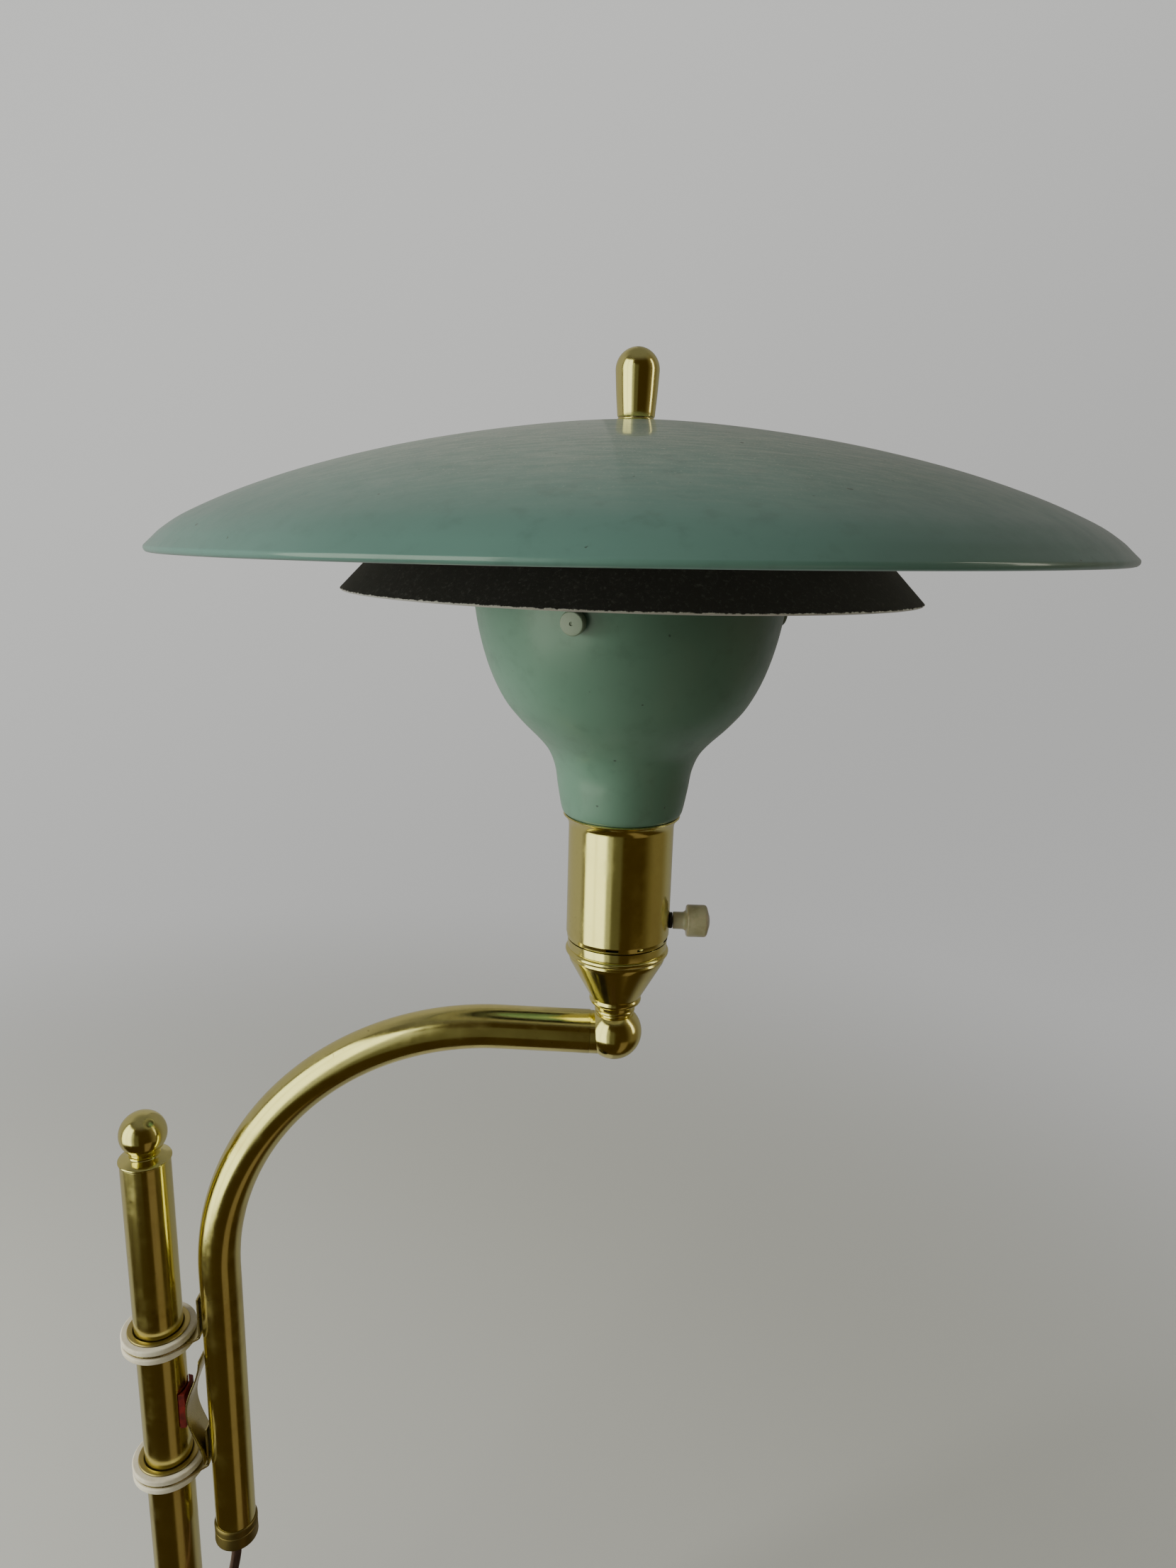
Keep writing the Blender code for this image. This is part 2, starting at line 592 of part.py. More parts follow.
def make_cord():
    share = 2
    line = smooth_line(CORD_ROUTE, share)
    split = CORD_SPLIT * share
    cord_tube("cord_drop", line[:split + 1], arm)
    cord_tube("cord_run", shorter(line[split:], GAP), stand)
    cord_tube("cord_tail", smooth_line(TAIL_ROUTE, share), stand)
    half, high = COIL_BUNDLE / 2, COIL_HIGH
    profile = ring(COIL_R - half, COIL_R + half, 0.0, high, 2.4)
    add("cord_coil", spun(profile, 28), FLEX, stand, place=(COIL_X, COIL_Y, 0))


def make_plug():
    half_tail, half_face, z = 4.6, 12.2, PLUG_Z - GAP
    outline = [(-half_tail, 0), (half_tail, 0), (half_tail + 0.8, 8.0), (half_face - 1.2, 13.0),
               (half_face, 15.0), (half_face, PLUG_LONG), (-half_face, PLUG_LONG), (-half_face, 15.0),
               (-half_face + 1.2, 13.0), (-half_tail - 0.8, 8.0)]
    body = add("plug_body", slab(outline, -z, z), PHENOLIC, stand, place=(PLUG_X, PLUG_Y, PLUG_Z))
    edge = body.modifiers.new("rounded", "BEVEL")
    edge.width = 1.6 * MM
    edge.segments = 2
    edge.limit_method = "ANGLE"
    for i, x in enumerate((-BLADE_PITCH / 2, BLADE_PITCH / 2)):
        near = PLUG_LONG + GAP
        blade = [(x - 0.75, near), (x + 0.75, near), (x + 0.75, near + 15.0), (x + 0.3, near + 16.0),
                 (x - 0.3, near + 16.0), (x - 0.75, near + 15.0)]
        add(f"plug_blade_{i}", slab(blade, -3.2, 3.2), BRASS, stand, place=(PLUG_X, PLUG_Y, PLUG_Z))


make_base()
make_post()
make_clip("upper", UPPER_CLIP_Z)
make_clip("lower", LOWER_CLIP_Z)
make_brake()
make_arm()
make_fitting()
make_holder()
make_switch()
make_bowl()
make_baffle()
make_shade()
make_cord()
make_plug()
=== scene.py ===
# %% [markdown]
# # A swing arm desk lamp
#
# The lamp has a weighted round base, a brass post, and a bent brass arm that slides on the post and
# swings about it. The arm carries a lamp holder with a turn knob, a tulip bowl and a saucer shade
# with a dark baffle ring below it. The frame holds the plain solids and the joints; each cell here
# makes one piece of the lamp as it looks, in the place where the frame has it.

# %% Load the frame
import math
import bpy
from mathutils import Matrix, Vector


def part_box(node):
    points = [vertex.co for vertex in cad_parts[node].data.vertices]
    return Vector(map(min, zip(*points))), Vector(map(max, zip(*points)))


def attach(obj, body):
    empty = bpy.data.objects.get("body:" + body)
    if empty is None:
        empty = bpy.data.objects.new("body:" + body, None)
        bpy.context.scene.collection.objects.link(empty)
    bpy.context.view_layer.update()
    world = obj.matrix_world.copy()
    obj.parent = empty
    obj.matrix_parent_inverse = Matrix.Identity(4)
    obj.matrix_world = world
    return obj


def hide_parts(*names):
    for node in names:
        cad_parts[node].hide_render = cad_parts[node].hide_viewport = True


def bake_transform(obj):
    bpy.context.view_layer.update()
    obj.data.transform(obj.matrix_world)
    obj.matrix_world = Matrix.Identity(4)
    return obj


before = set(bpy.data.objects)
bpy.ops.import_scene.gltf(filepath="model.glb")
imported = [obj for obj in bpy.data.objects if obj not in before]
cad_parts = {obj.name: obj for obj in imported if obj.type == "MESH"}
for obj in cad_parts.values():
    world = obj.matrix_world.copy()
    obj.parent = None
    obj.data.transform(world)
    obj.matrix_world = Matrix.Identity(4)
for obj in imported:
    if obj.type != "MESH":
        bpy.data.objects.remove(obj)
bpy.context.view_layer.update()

from types import SimpleNamespace

import bmesh
import bpy
from mathutils import Matrix, Vector

MM = 0.001


def seat(node):
    """Where a node stands: its axis, radius, foot and top, all in millimetres."""
    low, high = (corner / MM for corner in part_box(node))
    return SimpleNamespace(x=(low.x + high.x) / 2, y=(low.y + high.y) / 2, r=(high.y - low.y) / 2,
                           foot=low.z, top=high.z, low=low, high=high)


post = seat("post_tube")
bowl = seat("bowl")
shade = seat("shade")
arm_foot = seat("arm_end_cap")
coil = seat("cord_coil")
HEAD = (bowl.x, bowl.y)

# %% [markdown]
# ## The camera
#
# The lens stands a little above the shade's rim and looks slightly down, so that the saucer shows
# its top and the view ends above the base. A camera's matrix is built from three directions: to its
# right, up, and backwards.

# %% Camera
PITCH, ROLL = 0.236, 0.028  # radians: nose down, and a slight lean of the hand
EYE = (0.19757, -0.4162, 0.6855)
LENS_MM, SENSOR_MM = 23.64, 36.0
ahead = Vector((0, math.cos(PITCH), -math.sin(PITCH)))
upward = Vector((0, math.sin(PITCH), math.cos(PITCH)))
right = math.cos(ROLL) * Vector((1, 0, 0)) + math.sin(ROLL) * upward
top = math.cos(ROLL) * upward - math.sin(ROLL) * Vector((1, 0, 0))
lens = bpy.data.cameras.new("camera")
lens.sensor_fit = "VERTICAL"
lens.sensor_height = SENSOR_MM
lens.lens = LENS_MM
lens.clip_start = 0.01
camera = bpy.data.objects.new("camera", lens)
camera.matrix_world = Matrix((right, top, -ahead)).transposed().to_4x4()
camera.location = EYE
bpy.context.scene.collection.objects.link(camera)
bpy.context.scene.camera = camera
print("camera at", EYE, "with a lens of", LENS_MM, "mm")

# %% [markdown]
# ## Shader maths as expressions
#
# A pattern is a small sum: a noise times a mask, plus a little more. Written out as nodes it fills
# pages, so `Wire` wraps the output of a node and lets Python's own signs add the Math nodes.
# `Nodes` adds any other node from its type, its settings and the values of its sockets.

# %% Wires and nodes


class Wire:
    """One output of a node. Arithmetic on wires adds Math nodes."""

    def __init__(self, nodes, socket):
        self.nodes = nodes
        self.socket = socket

    def math(self, operation, *others):
        return self.nodes.add("ShaderNodeMath", {"operation": operation}, (self, *others))

    def __add__(self, other):
        return self.math("ADD", other)

    def __sub__(self, other):
        return self.math("SUBTRACT", other)

    def __rsub__(self, other):
        return self.nodes.add("ShaderNodeMath", {"operation": "SUBTRACT"}, (other, self))

    def __mul__(self, other):
        return self.math("MULTIPLY", other)

    __radd__ = __add__
    __rmul__ = __mul__

    def rise(self, low, high):
        """0 below low and 1 above high, with a soft step between. It falls if high is below low."""
        ends = (low, high, 0.0, 1.0) if low < high else (high, low, 1.0, 0.0)
        settings = {"interpolation_type": "SMOOTHSTEP"}
        return self.nodes.add("ShaderNodeMapRange", settings, (self, *ends))

    def band(self, low, high, soft):
        """1 between low and high, fading out over soft at both sides."""
        return self.rise(low - soft, low) * self.rise(high + soft, high)


class Nodes:
    """Adds nodes to one tree."""

    def __init__(self, tree):
        self.tree = tree

    def add(self, kind, settings=None, inputs=(), output=0):
        node = self.tree.nodes.new(kind)
        for name, value in (settings or {}).items():
            setattr(node, name, value)
        pairs = inputs.items() if isinstance(inputs, dict) else enumerate(inputs)
        for key, value in pairs:
            self.feed(node.inputs[key], value)
        return Wire(self, node.outputs[output])

    def feed(self, socket, value):
        if isinstance(value, Wire):
            self.tree.links.new(value.socket, socket)
        elif isinstance(value, tuple) and socket.type == "RGBA":
            socket.default_value = (*value, 1.0)
        else:
            socket.default_value = value

    def mix(self, first, second, share):
        """A colour between two colours."""
        return self.add("ShaderNodeMix", {"data_type": "RGBA"}, {0: share, 6: first, 7: second}, 2)

    def split(self, vector):
        """The X, Y and Z of a vector."""
        return [self.add("ShaderNodeSeparateXYZ", None, (vector,), axis) for axis in range(3)]


class Finish(Nodes):
    """A material on one Principled shader, with patterns that sit still on the piece."""

    def __init__(self, name):
        self.slot = name  # the frame's name for this surface
        self.material = bpy.data.materials.new(name)
        self.material.use_nodes = True
        super().__init__(self.material.node_tree)
        self.shader = self.tree.nodes["Principled BSDF"]
        self.place = self.add("ShaderNodeTexCoord", output=3)
        self.x, self.y, self.z = self.split(self.place)
        print("finish:", name)

    def set(self, **values):
        for name, value in values.items():
            self.feed(self.shader.inputs[name.replace("_", " ")], value)
        return self

    def noise(self, per_metre, detail=3.0, stretch=(1, 1, 1), rough=0.55):
        """Noise of so many grains to a metre; a small stretch draws it out along that axis."""
        where = self.add("ShaderNodeMapping", None, {0: self.place, 3: stretch})
        sizes = {"Vector": where, "Scale": per_metre, "Detail": detail, "Roughness": rough}
        return self.add("ShaderNodeTexNoise", None, sizes)

    def bump(self, height, deep, strength=0.5):
        """Small relief, deep metres from its lowest to its highest."""
        made = self.add("ShaderNodeBump", None, {"Strength": strength, "Distance": deep, "Height": height})
        return self.set(Normal=made)

# %% [markdown]
# ## Painted and plated surfaces
#
# The enamel is a baked sea-green gloss that has gone satin with age. Dust and fine rubbing lie on
# the crown of the shade, so a mask by height lightens it there, and noise drawn out along the sweep
# of a cloth breaks the mask up. Small chips are the rare peaks of a fine noise.

# %% Enamel


def enamel(name, tint, dust_foot, dust_top, dust=0.0, gleam=0.5):
    """Sea-green enamel. Dust grows from dust_foot to dust_top, both in millimetres."""
    made = Finish(name)
    made.slot = "green_enamel"
    cloud = made.noise(9, 3)
    mottle = made.noise(140, 4)
    fine = made.noise(1500, 3)
    wiped = made.noise(420, 4, (0.16, 1.0, 1.0), 0.7)
    colour = made.mix(tint, tuple(c * 1.22 for c in tint), cloud.rise(0.35, 0.7))
    colour = made.mix(colour, tuple(c * 0.86 for c in tint), mottle.rise(0.5, 0.75) * 0.5)
    chips = made.noise(260, 2).rise(0.745, 0.765)
    if dust:
        lying = made.z.rise(dust_foot * MM, dust_top * MM)
        film = lying * dust * (0.34 + 0.55 * wiped.rise(0.38, 0.68) + 0.45 * fine.rise(0.5, 0.7))
        colour = made.mix(colour, (0.36, 0.40, 0.35), film)
        speck = made.noise(900, 1).rise(0.70, 0.74) * lying
        colour = made.mix(colour, (0.55, 0.56, 0.50), speck * 0.55)
    colour = made.mix(colour, (0.035, 0.05, 0.042), chips * 0.8)
    rub = made.noise(60, 5, rough=0.7)
    gloss = 0.25 + 0.13 * rub.rise(0.3, 0.75) + 0.08 * fine
    if dust:
        gloss = gloss + 0.24 * lying
    made.set(Base_Color=colour, Roughness=gloss, Coat_Weight=gleam, Coat_Roughness=0.08, Coat_IOR=1.8)
    made.bump(0.7 * made.noise(330, 2) + 0.3 * fine - 1.5 * chips, 0.00006, 0.35)
    return made


shade_enamel = enamel("shade_enamel", (0.088, 0.180, 0.158), shade.foot + 10, shade.foot + 46, 0.95)
bowl_enamel = enamel("bowl_enamel", (0.092, 0.172, 0.128), 0, 1, gleam=0.04)
screw_enamel = enamel("screw_enamel", (0.16, 0.21, 0.155), 0, 1, gleam=0.1)
base_enamel = enamel("base_enamel", (0.088, 0.182, 0.152), 20, 42, 0.3)

reflector_white = Finish("reflector_white")
yellowed = reflector_white.noise(30, 3).rise(0.35, 0.75)
reflector_white.set(Base_Color=reflector_white.mix((0.80, 0.79, 0.74), (0.72, 0.69, 0.60), yellowed),
                    Roughness=0.38 + 0.1 * reflector_white.noise(200, 3))
reflector_white.bump(reflector_white.noise(420, 2), 0.00005, 0.3)

# %% [markdown]
# ## Brass
#
# Lacquered brass is a mirror with faults. Its colour is slightly green where the lacquer is sound
# and browner where it has thinned; fine drawing lines run along the tubes, and fingers and cloths
# have left patches that are a little rougher. All of this is small, because most of what an eye
# reads on brass is the room.

# %% Brass


def brass(name, tint, along=(1, 1, 1), tarnish=0.3, gloss=0.11):
    """Polished brass. along is the stretch of the drawing lines, small on the axis they run on."""
    made = Finish(name)
    made.slot = "polished_brass"
    patch = made.noise(38, 4, rough=0.62)
    lines = made.noise(900, 3, along)
    spots = made.noise(520, 2).rise(0.70, 0.76)
    brown = tuple(c * f for c, f in zip(tint, (0.62, 0.52, 0.42), strict=True))
    colour = made.mix(tint, brown, patch.rise(0.46, 0.78) * tarnish)
    colour = made.mix(colour, tuple(c * 0.8 for c in tint), lines.rise(0.5, 0.8) * 0.35)
    colour = made.mix(colour, (0.16, 0.10, 0.04), spots * tarnish * 0.8)
    dulled = made.noise(75, 5, rough=0.7).rise(0.42, 0.8)
    made.set(Base_Color=colour, Metallic=1.0, Roughness=gloss + 0.13 * dulled + 0.05 * lines)
    made.bump(0.6 * lines + 0.4 * made.noise(160, 2), 0.000012, 0.35)
    return made


GOLD = (0.87, 0.79, 0.30)
turned_brass = brass("turned_brass", GOLD)
drawn_brass = brass("drawn_brass", (0.80, 0.72, 0.28), (1, 1, 0.03), 0.5, 0.13)
bent_brass = brass("bent_brass", (0.83, 0.75, 0.29), (0.2, 1, 0.2), 0.45, 0.12)
spring_brass = brass("spring_brass", (0.62, 0.54, 0.28), (1, 0.1, 1), 0.6, 0.24)
aged_brass = brass("aged_brass", (0.32, 0.25, 0.09), (1, 1, 0.2), 0.7, 0.42)
aged_brass.slot = "aged_brass"
satin_brass = brass("satin_brass", (0.60, 0.49, 0.19), (1, 1, 0.3), 0.5, 0.38)

# %% [markdown]
# ## The other finishes
#
# The baffle is painted with a black wrinkle finish, and along its lower edge the paint has worn
# through to bright metal: a mask by height with a ragged limit shows it. The washers, the knob and
# the plug are moulded plastics, each with its own small unevenness.

# %% Wrinkle paint, plastics, steel and glass
baffle = seat("baffle_ring")
black_wrinkle = Finish("black_wrinkle")
fibres = black_wrinkle.noise(700, 5, (1, 1, 1), 0.75)
crumbs = black_wrinkle.noise(1700, 3, rough=0.7)
ragged = black_wrinkle.z - 0.0016 * black_wrinkle.noise(420, 4, rough=0.7)
bare = ragged.rise((baffle.foot - 0.55) * MM, (baffle.foot - 0.85) * MM)
soot = black_wrinkle.mix((0.0065, 0.0068, 0.0066), (0.060, 0.060, 0.058), fibres.rise(0.5, 0.78))
soot = black_wrinkle.mix(soot, (0.20, 0.20, 0.19), crumbs.rise(0.64, 0.76) * 0.5)
black_wrinkle.set(Base_Color=black_wrinkle.mix(soot, (0.85, 0.85, 0.82), bare), Metallic=bare * 0.9,
                  Roughness=0.62 - 0.24 * bare + 0.12 * fibres)
black_wrinkle.bump(0.7 * fibres + 0.3 * crumbs, 0.00022, 0.6)


def plain(name, light, dark, per_metre, roughness, deep, **more):
    """A finish with two close colours in soft patches, and a fine grain."""
    made = Finish(name)
    grain = made.noise(per_metre * 12, 3)
    made.set(Base_Color=made.mix(light, dark, made.noise(per_metre, 4, rough=0.65).rise(0.35, 0.72)),
             Roughness=roughness + 0.12 * grain, **more)
    made.bump(grain, deep, 0.5)
    return made


cream_nylon = plain("cream_nylon", (0.74, 0.69, 0.56), (0.58, 0.52, 0.40), 90, 0.38, 0.00004)
red_fibre = plain("red_fibre", (0.36, 0.022, 0.014), (0.13, 0.012, 0.010), 160, 0.5, 0.00008)
ivory_plastic = plain("ivory_plastic", (0.50, 0.46, 0.31), (0.34, 0.31, 0.19), 120, 0.26, 0.00003,
                      Subsurface_Weight=0.25, Subsurface_Scale=0.003, Coat_Weight=0.3)
black_phenolic = plain("black_phenolic", (0.016, 0.014, 0.013), (0.028, 0.024, 0.021), 90, 0.36, 0.00003)
brown_phenolic = plain("brown_phenolic", (0.050, 0.022, 0.014), (0.085, 0.036, 0.020), 60, 0.26, 0.00003)
brown_flex = plain("brown_flex", (0.060, 0.026, 0.018), (0.100, 0.048, 0.034), 130, 0.42, 0.00004)
cast_iron = plain("cast_iron", (0.055, 0.052, 0.050), (0.11, 0.075, 0.055), 60, 0.62, 0.0003, Metallic=0.8)
green_felt = plain("green_felt", (0.030, 0.060, 0.042), (0.052, 0.088, 0.062), 300, 0.85, 0.0004,
                   Sheen_Weight=0.4)
green_felt.slot = "felt"
plated_steel = plain("plated_steel", (0.56, 0.56, 0.53), (0.42, 0.41, 0.37), 70, 0.26, 0.00003, Metallic=1.0)
frosted_glass = plain("frosted_glass", (0.90, 0.90, 0.88), (0.84, 0.84, 0.81), 40, 0.42, 0.00002,
                      Transmission_Weight=0.35, IOR=1.5)

# %% [markdown]
# ## Turning
#
# Most pieces of this lamp are turned from bar or spun from sheet. In Blender a person draws half of
# the outline, by extruding one point again and again, and turns it with Spin. The outlines are in
# millimetres. Spin leaves doubled points at the seam and the poles, so they are merged, and then the
# faces are made to point outwards.

# %% Drawing an outline and spinning it
SPOKES = 96


def smooth(points, share=5):
    """Points on a smooth curve through the given ones, share of them to each stretch."""
    knots = [Vector(p) for p in points]
    knots = [2 * knots[0] - knots[1], *knots, 2 * knots[-1] - knots[-2]]
    line = []
    for a, b, c, d in zip(knots, knots[1:], knots[2:], knots[3:], strict=False):
        for t in (i / share for i in range(share)):
            curve = (2 * a - 5 * b + 4 * c - d) * t * t + (3 * b - a - 3 * c + d) * t ** 3
            line.append(tuple(0.5 * (2 * b + (c - a) * t + curve)))
    return [*line, tuple(knots[-2])]


def arc(r, h, radius, first, last, count=7):
    """Points on a round stretch about (r, h), from one angle in degrees to another."""
    turns = [math.radians(first + (last - first) * i / (count - 1)) for i in range(count)]
    return [(r + radius * math.cos(t), h + radius * math.sin(t)) for t in turns]


def walled(outline, thick):
    """The outline of a sheet wall: the line, and the same line set to its right and back again."""
    line = [Vector(p) for p in outline]
    inner = []
    for before, point, after in zip([line[0], *line], line, [*line[1:], line[-1]], strict=False):
        along = (after - before).normalized()
        inner.append(point + thick * Vector((along.y, -along.x)))
    return [tuple(p) for p in line + inner[::-1]]


def draw(name, points):
    """A line through points, in millimetres, drawn by extruding one vertex. It stays in edit mode."""
    bpy.ops.object.select_all(action="DESELECT")
    bpy.ops.mesh.primitive_circle_add(vertices=3, radius=MM, location=Vector(points[0]) * MM)
    bpy.context.object.name = name
    bpy.ops.object.mode_set(mode="EDIT")
    bpy.ops.mesh.merge(type="CENTER")
    for here, there in zip(points, points[1:], strict=False):
        step = (Vector(there) - Vector(here)) * MM
        bpy.ops.mesh.extrude_vertices_move(TRANSFORM_OT_translate={"value": step})
    return bpy.context.object


def pick(test):
    """Select the edited mesh's vertices that pass a test, and say how many."""
    bpy.ops.mesh.select_mode(type="VERT")
    bpy.ops.mesh.select_all(action="DESELECT")
    mesh = bpy.context.object.data
    shape = bmesh.from_edit_mesh(mesh)
    chosen = [vert for vert in shape.verts if test(vert)]
    for vert in chosen:
        vert.select_set(True)
    shape.select_flush_mode()
    bmesh.update_edit_mesh(mesh)
    return len(chosen)


def close_line():
    pick(lambda v: len(v.link_edges) == 1)
    bpy.ops.mesh.edge_face_add()


def pulled(*step):
    """Extrude what is selected by a step in millimetres."""
    bpy.ops.mesh.extrude_region_move(TRANSFORM_OT_translate={"value": Vector(step) * MM})


def applied(piece, kind, **settings):
    """Add a modifier and apply it."""
    made = piece.modifiers.new(kind.lower(), kind)
    for name, value in settings.items():
        setattr(made, name, value)
    bpy.context.view_layer.objects.active = piece
    bpy.ops.object.modifier_apply(modifier=made.name)
    return piece


def broken(piece, edge, angle=50, segments=2):
    """Round the edges that are sharper than angle degrees by edge millimetres."""
    return applied(piece, "BEVEL", width=edge * MM, segments=segments, limit_method="ANGLE",
                   angle_limit=math.radians(angle))


def combined(piece, tool, operation="DIFFERENCE"):
    """Cut a tool from a piece, or join it on, and remove the tool."""
    applied(piece, "BOOLEAN", operation=operation, object=tool, solver="EXACT")
    bpy.data.objects.remove(tool)


def rod(radius, long, at, turn=(0, 0, 0), sides=64):
    """A round tool of so many millimetres, its middle at a place."""
    bpy.ops.mesh.primitive_cylinder_add(vertices=sides, radius=radius * MM, depth=long * MM,
                                        location=Vector(at) * MM, rotation=turn)
    return bpy.context.object


def completed(piece, edge=0.0, turn=(0, 0, 0), at=(0, 0, 0)):
    """Merge, turn outwards, put the place into the mesh, break sharp edges by edge mm and smooth."""
    bpy.ops.mesh.select_mode(type="VERT")
    bpy.ops.mesh.select_all(action="SELECT")
    bpy.ops.mesh.remove_doubles(threshold=0.001 * MM)
    bpy.ops.mesh.normals_make_consistent(inside=False)
    bpy.ops.object.mode_set(mode="OBJECT")
    bpy.ops.object.transform_apply(location=True, rotation=True, scale=True)
    piece.rotation_euler = [math.radians(a) for a in turn]
    piece.location = Vector(at) * MM
    bpy.ops.object.transform_apply(location=True, rotation=True, scale=True)
    if edge:
        broken(piece, edge, 38)
    bpy.ops.object.shade_smooth_by_angle(angle=math.radians(32))
    return piece


def turned(name, outline, at=(0, 0), foot=0.0, edge=0.0, spokes=SPOKES, turn=(0, 0, 0), lift=(0, 0, 0)):
    """Spin an outline of (radius, height) about an upright axis at (x, y), its zero height at foot."""
    x, y = at
    piece = draw(name, [(x + r, y, foot + h) for r, h in outline])
    if outline[0][0] > 0:
        close_line()
    bpy.ops.mesh.select_all(action="SELECT")
    bpy.ops.mesh.spin(steps=spokes, angle=math.tau, center=(x * MM, y * MM, 0), axis=(0, 0, 1))
    return completed(piece, edge, turn, lift)


def fit(piece, finish, body, *nodes):
    """Give a piece its finish, its body, and the plain solids that it stands for.

    Normals are weighted by area first, so that a long flat stretch beside a small round stays flat.
    """
    applied(piece, "WEIGHTED_NORMAL", keep_sharp=True)
    piece.data.materials.clear()
    piece.data.materials.append(finish.material)
    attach(piece, body)
    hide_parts(*nodes)
    size = [round(c / MM, 1) for c in piece.dimensions]
    print(f"{piece.name}: {size} mm, {len(piece.data.polygons)} faces")
    return piece

# %% [markdown]
# ## The saucer shade
#
# The shade is one disc of steel spun over a form: a low crown that falls faster towards the rim,
# and a rolled bead that stiffens the edge. Its outline follows a smooth curve through a few points,
# with a wall of 0.8 mm. It sits three quarters of a degree askew on its hub, as the real one does.
# The inside is white, to throw the light down.

# %% Shade
SHADE_R = shade.r
BEAD_R = 1.5
LEAN = 0.75  # degrees
WHITE_EDGE = 3.6  # how far the white inside stays away from the rim
HUB_UP = 48.0  # from the rim up to the hub that the shade tips on
rim_z = shade.foot + BEAD_R * math.cos(math.radians(LEAN)) + SHADE_R * math.sin(math.radians(LEAN))
CROWN = ((4.2, 48.4), (32, 46.1), (62, 41.8), (92, 36), (121, 28.4), (145, 20.1), (163, 12),
         (171.5, 6.6), (175.9, 2.6))
crown = smooth(CROWN)
inside = walled(crown, 0.8)[len(crown):]
bead = arc(SHADE_R - BEAD_R, 0, BEAD_R, 35, -205, 13)
outline = [(r, h - HUB_UP) for r, h in [*crown, *bead, *inside[1:]]]
saucer = turned("saucer_shade", outline, spokes=144, turn=(0, -LEAN, 0),
                lift=(*HEAD, rim_z + HUB_UP))
fit(saucer, shade_enamel, "arm", "shade")
saucer.data.materials.append(reflector_white.material)
for face in saucer.data.polygons:
    flat = math.hypot(face.center.x - HEAD[0] * MM, face.center.y) / MM
    if face.normal.z < -0.1 and flat < SHADE_R - WHITE_EDGE:
        face.material_index = 1

# %% [markdown]
# ## The finial, its washer and the baffle ring
#
# The finial is a long brass nut with a domed end, a little wider at the top. The baffle is a cone
# of thin sheet with a flat lip at its top, which the brackets hold; its lower edge is left square,
# and that is where the paint wears.

# %% Finial, washer and baffle
nut = seat("finial")
nut_dome = [*arc(0, 17.1, 8.4, 5, 86, 14), (0, 25.5)]
side = smooth(((7.2, 0.4), (7.9, 8.6), (8.4, 16.9)), 4)
fit(turned("finial_nut", [(0, 18.0), (3.6, 18.0), (3.6, 0), (6.9, 0), *side, *nut_dome], HEAD, nut.foot),
    turned_brass, "arm", "finial")
plate = seat("finial_washer")
fit(turned("finial_seat", [(3.6, 0), (6.8, 0), *arc(6.7, 0.45, 0.45, -60, 60, 5), (3.6, 0.9)], HEAD,
           plate.foot), turned_brass, "arm", "finial_washer")

BAFFLE_TOP_R = 84.0
slope_h = baffle.r - BAFFLE_TOP_R  # it slopes at 45 degrees
cone = [(BAFFLE_TOP_R - 5, slope_h + 0.5), *arc(BAFFLE_TOP_R - 0.6, slope_h - 2.6, 3.1, 88, 46, 6),
        (baffle.r, 0)]
fit(turned("baffle_cone", walled(cone, 0.9), HEAD, baffle.foot, 0.15, 128), black_wrinkle, "arm",
    "baffle_ring")

# %% [markdown]
# ## The tulip bowl and its screws
#
# The bowl flares from the lamp holder, swells and closes up to the baffle. Three painted screws
# hold it to the struts inside. A screw head is turned once, with a small centre mark, and each copy
# is tipped to lie on the bowl's slope.

# %% Bowl and screws
BOWL = ((23.6, 0), (25.2, 2.4), (27, 12), (28.2, 19.6), (30.8, 26.4), (35, 31.8), (43, 39.8),
        (49.6, 48.2), (55.3, 60), (59.6, 75), (62.4, 92.4))
flare = [(16, 0), (23.2, 0), *smooth(BOWL, 4)]
tulip = turned("tulip_bowl", walled(flare, -0.9), HEAD, bowl.foot, 0.15)
fit(tulip, bowl_enamel, "arm", "bowl")
tulip.data.materials.append(reflector_white.material)
for face in tulip.data.polygons:
    out = Vector((face.center.x - HEAD[0] * MM, face.center.y, 0))
    if face.normal.dot(out) < 0 and face.center.z > (bowl.foot + 6) * MM:
        face.material_index = 1

SCREW_TURNS = (-109.4, 10.6, 130.6)
SCREW_OUT, SCREW_Z, SCREW_TIP = 62.9, 656.6, 98
head = [(0, -6), (1.9, -6), (1.9, -0.4), (4.5, -0.4), *arc(3.7, 1.7, 0.8, 0, 75, 5),
        (0.75, 2.6), (0.6, 2.2), (0, 2.1)]
for i, azimuth in enumerate(SCREW_TURNS):
    across = Vector((math.cos(math.radians(azimuth)), math.sin(math.radians(azimuth)), 0))
    spot = Vector((*HEAD, SCREW_Z)) + SCREW_OUT * across
    screw = turned(f"screw_{i}", head, spokes=40, turn=(0, SCREW_TIP, azimuth), lift=spot)
    fit(screw, screw_enamel, "arm", f"bowl_screw_{i}")

# %% [markdown]
# ## The lamp holder
#
# Below the bowl the holder is all brass: a shell with a flared lip, a cup that narrows to a foot
# bead, two rings and a ball that takes the arm. The shell snaps into the cup, and the small slots
# of that catch show as dark marks in the groove between them. They are cut with a Boolean.

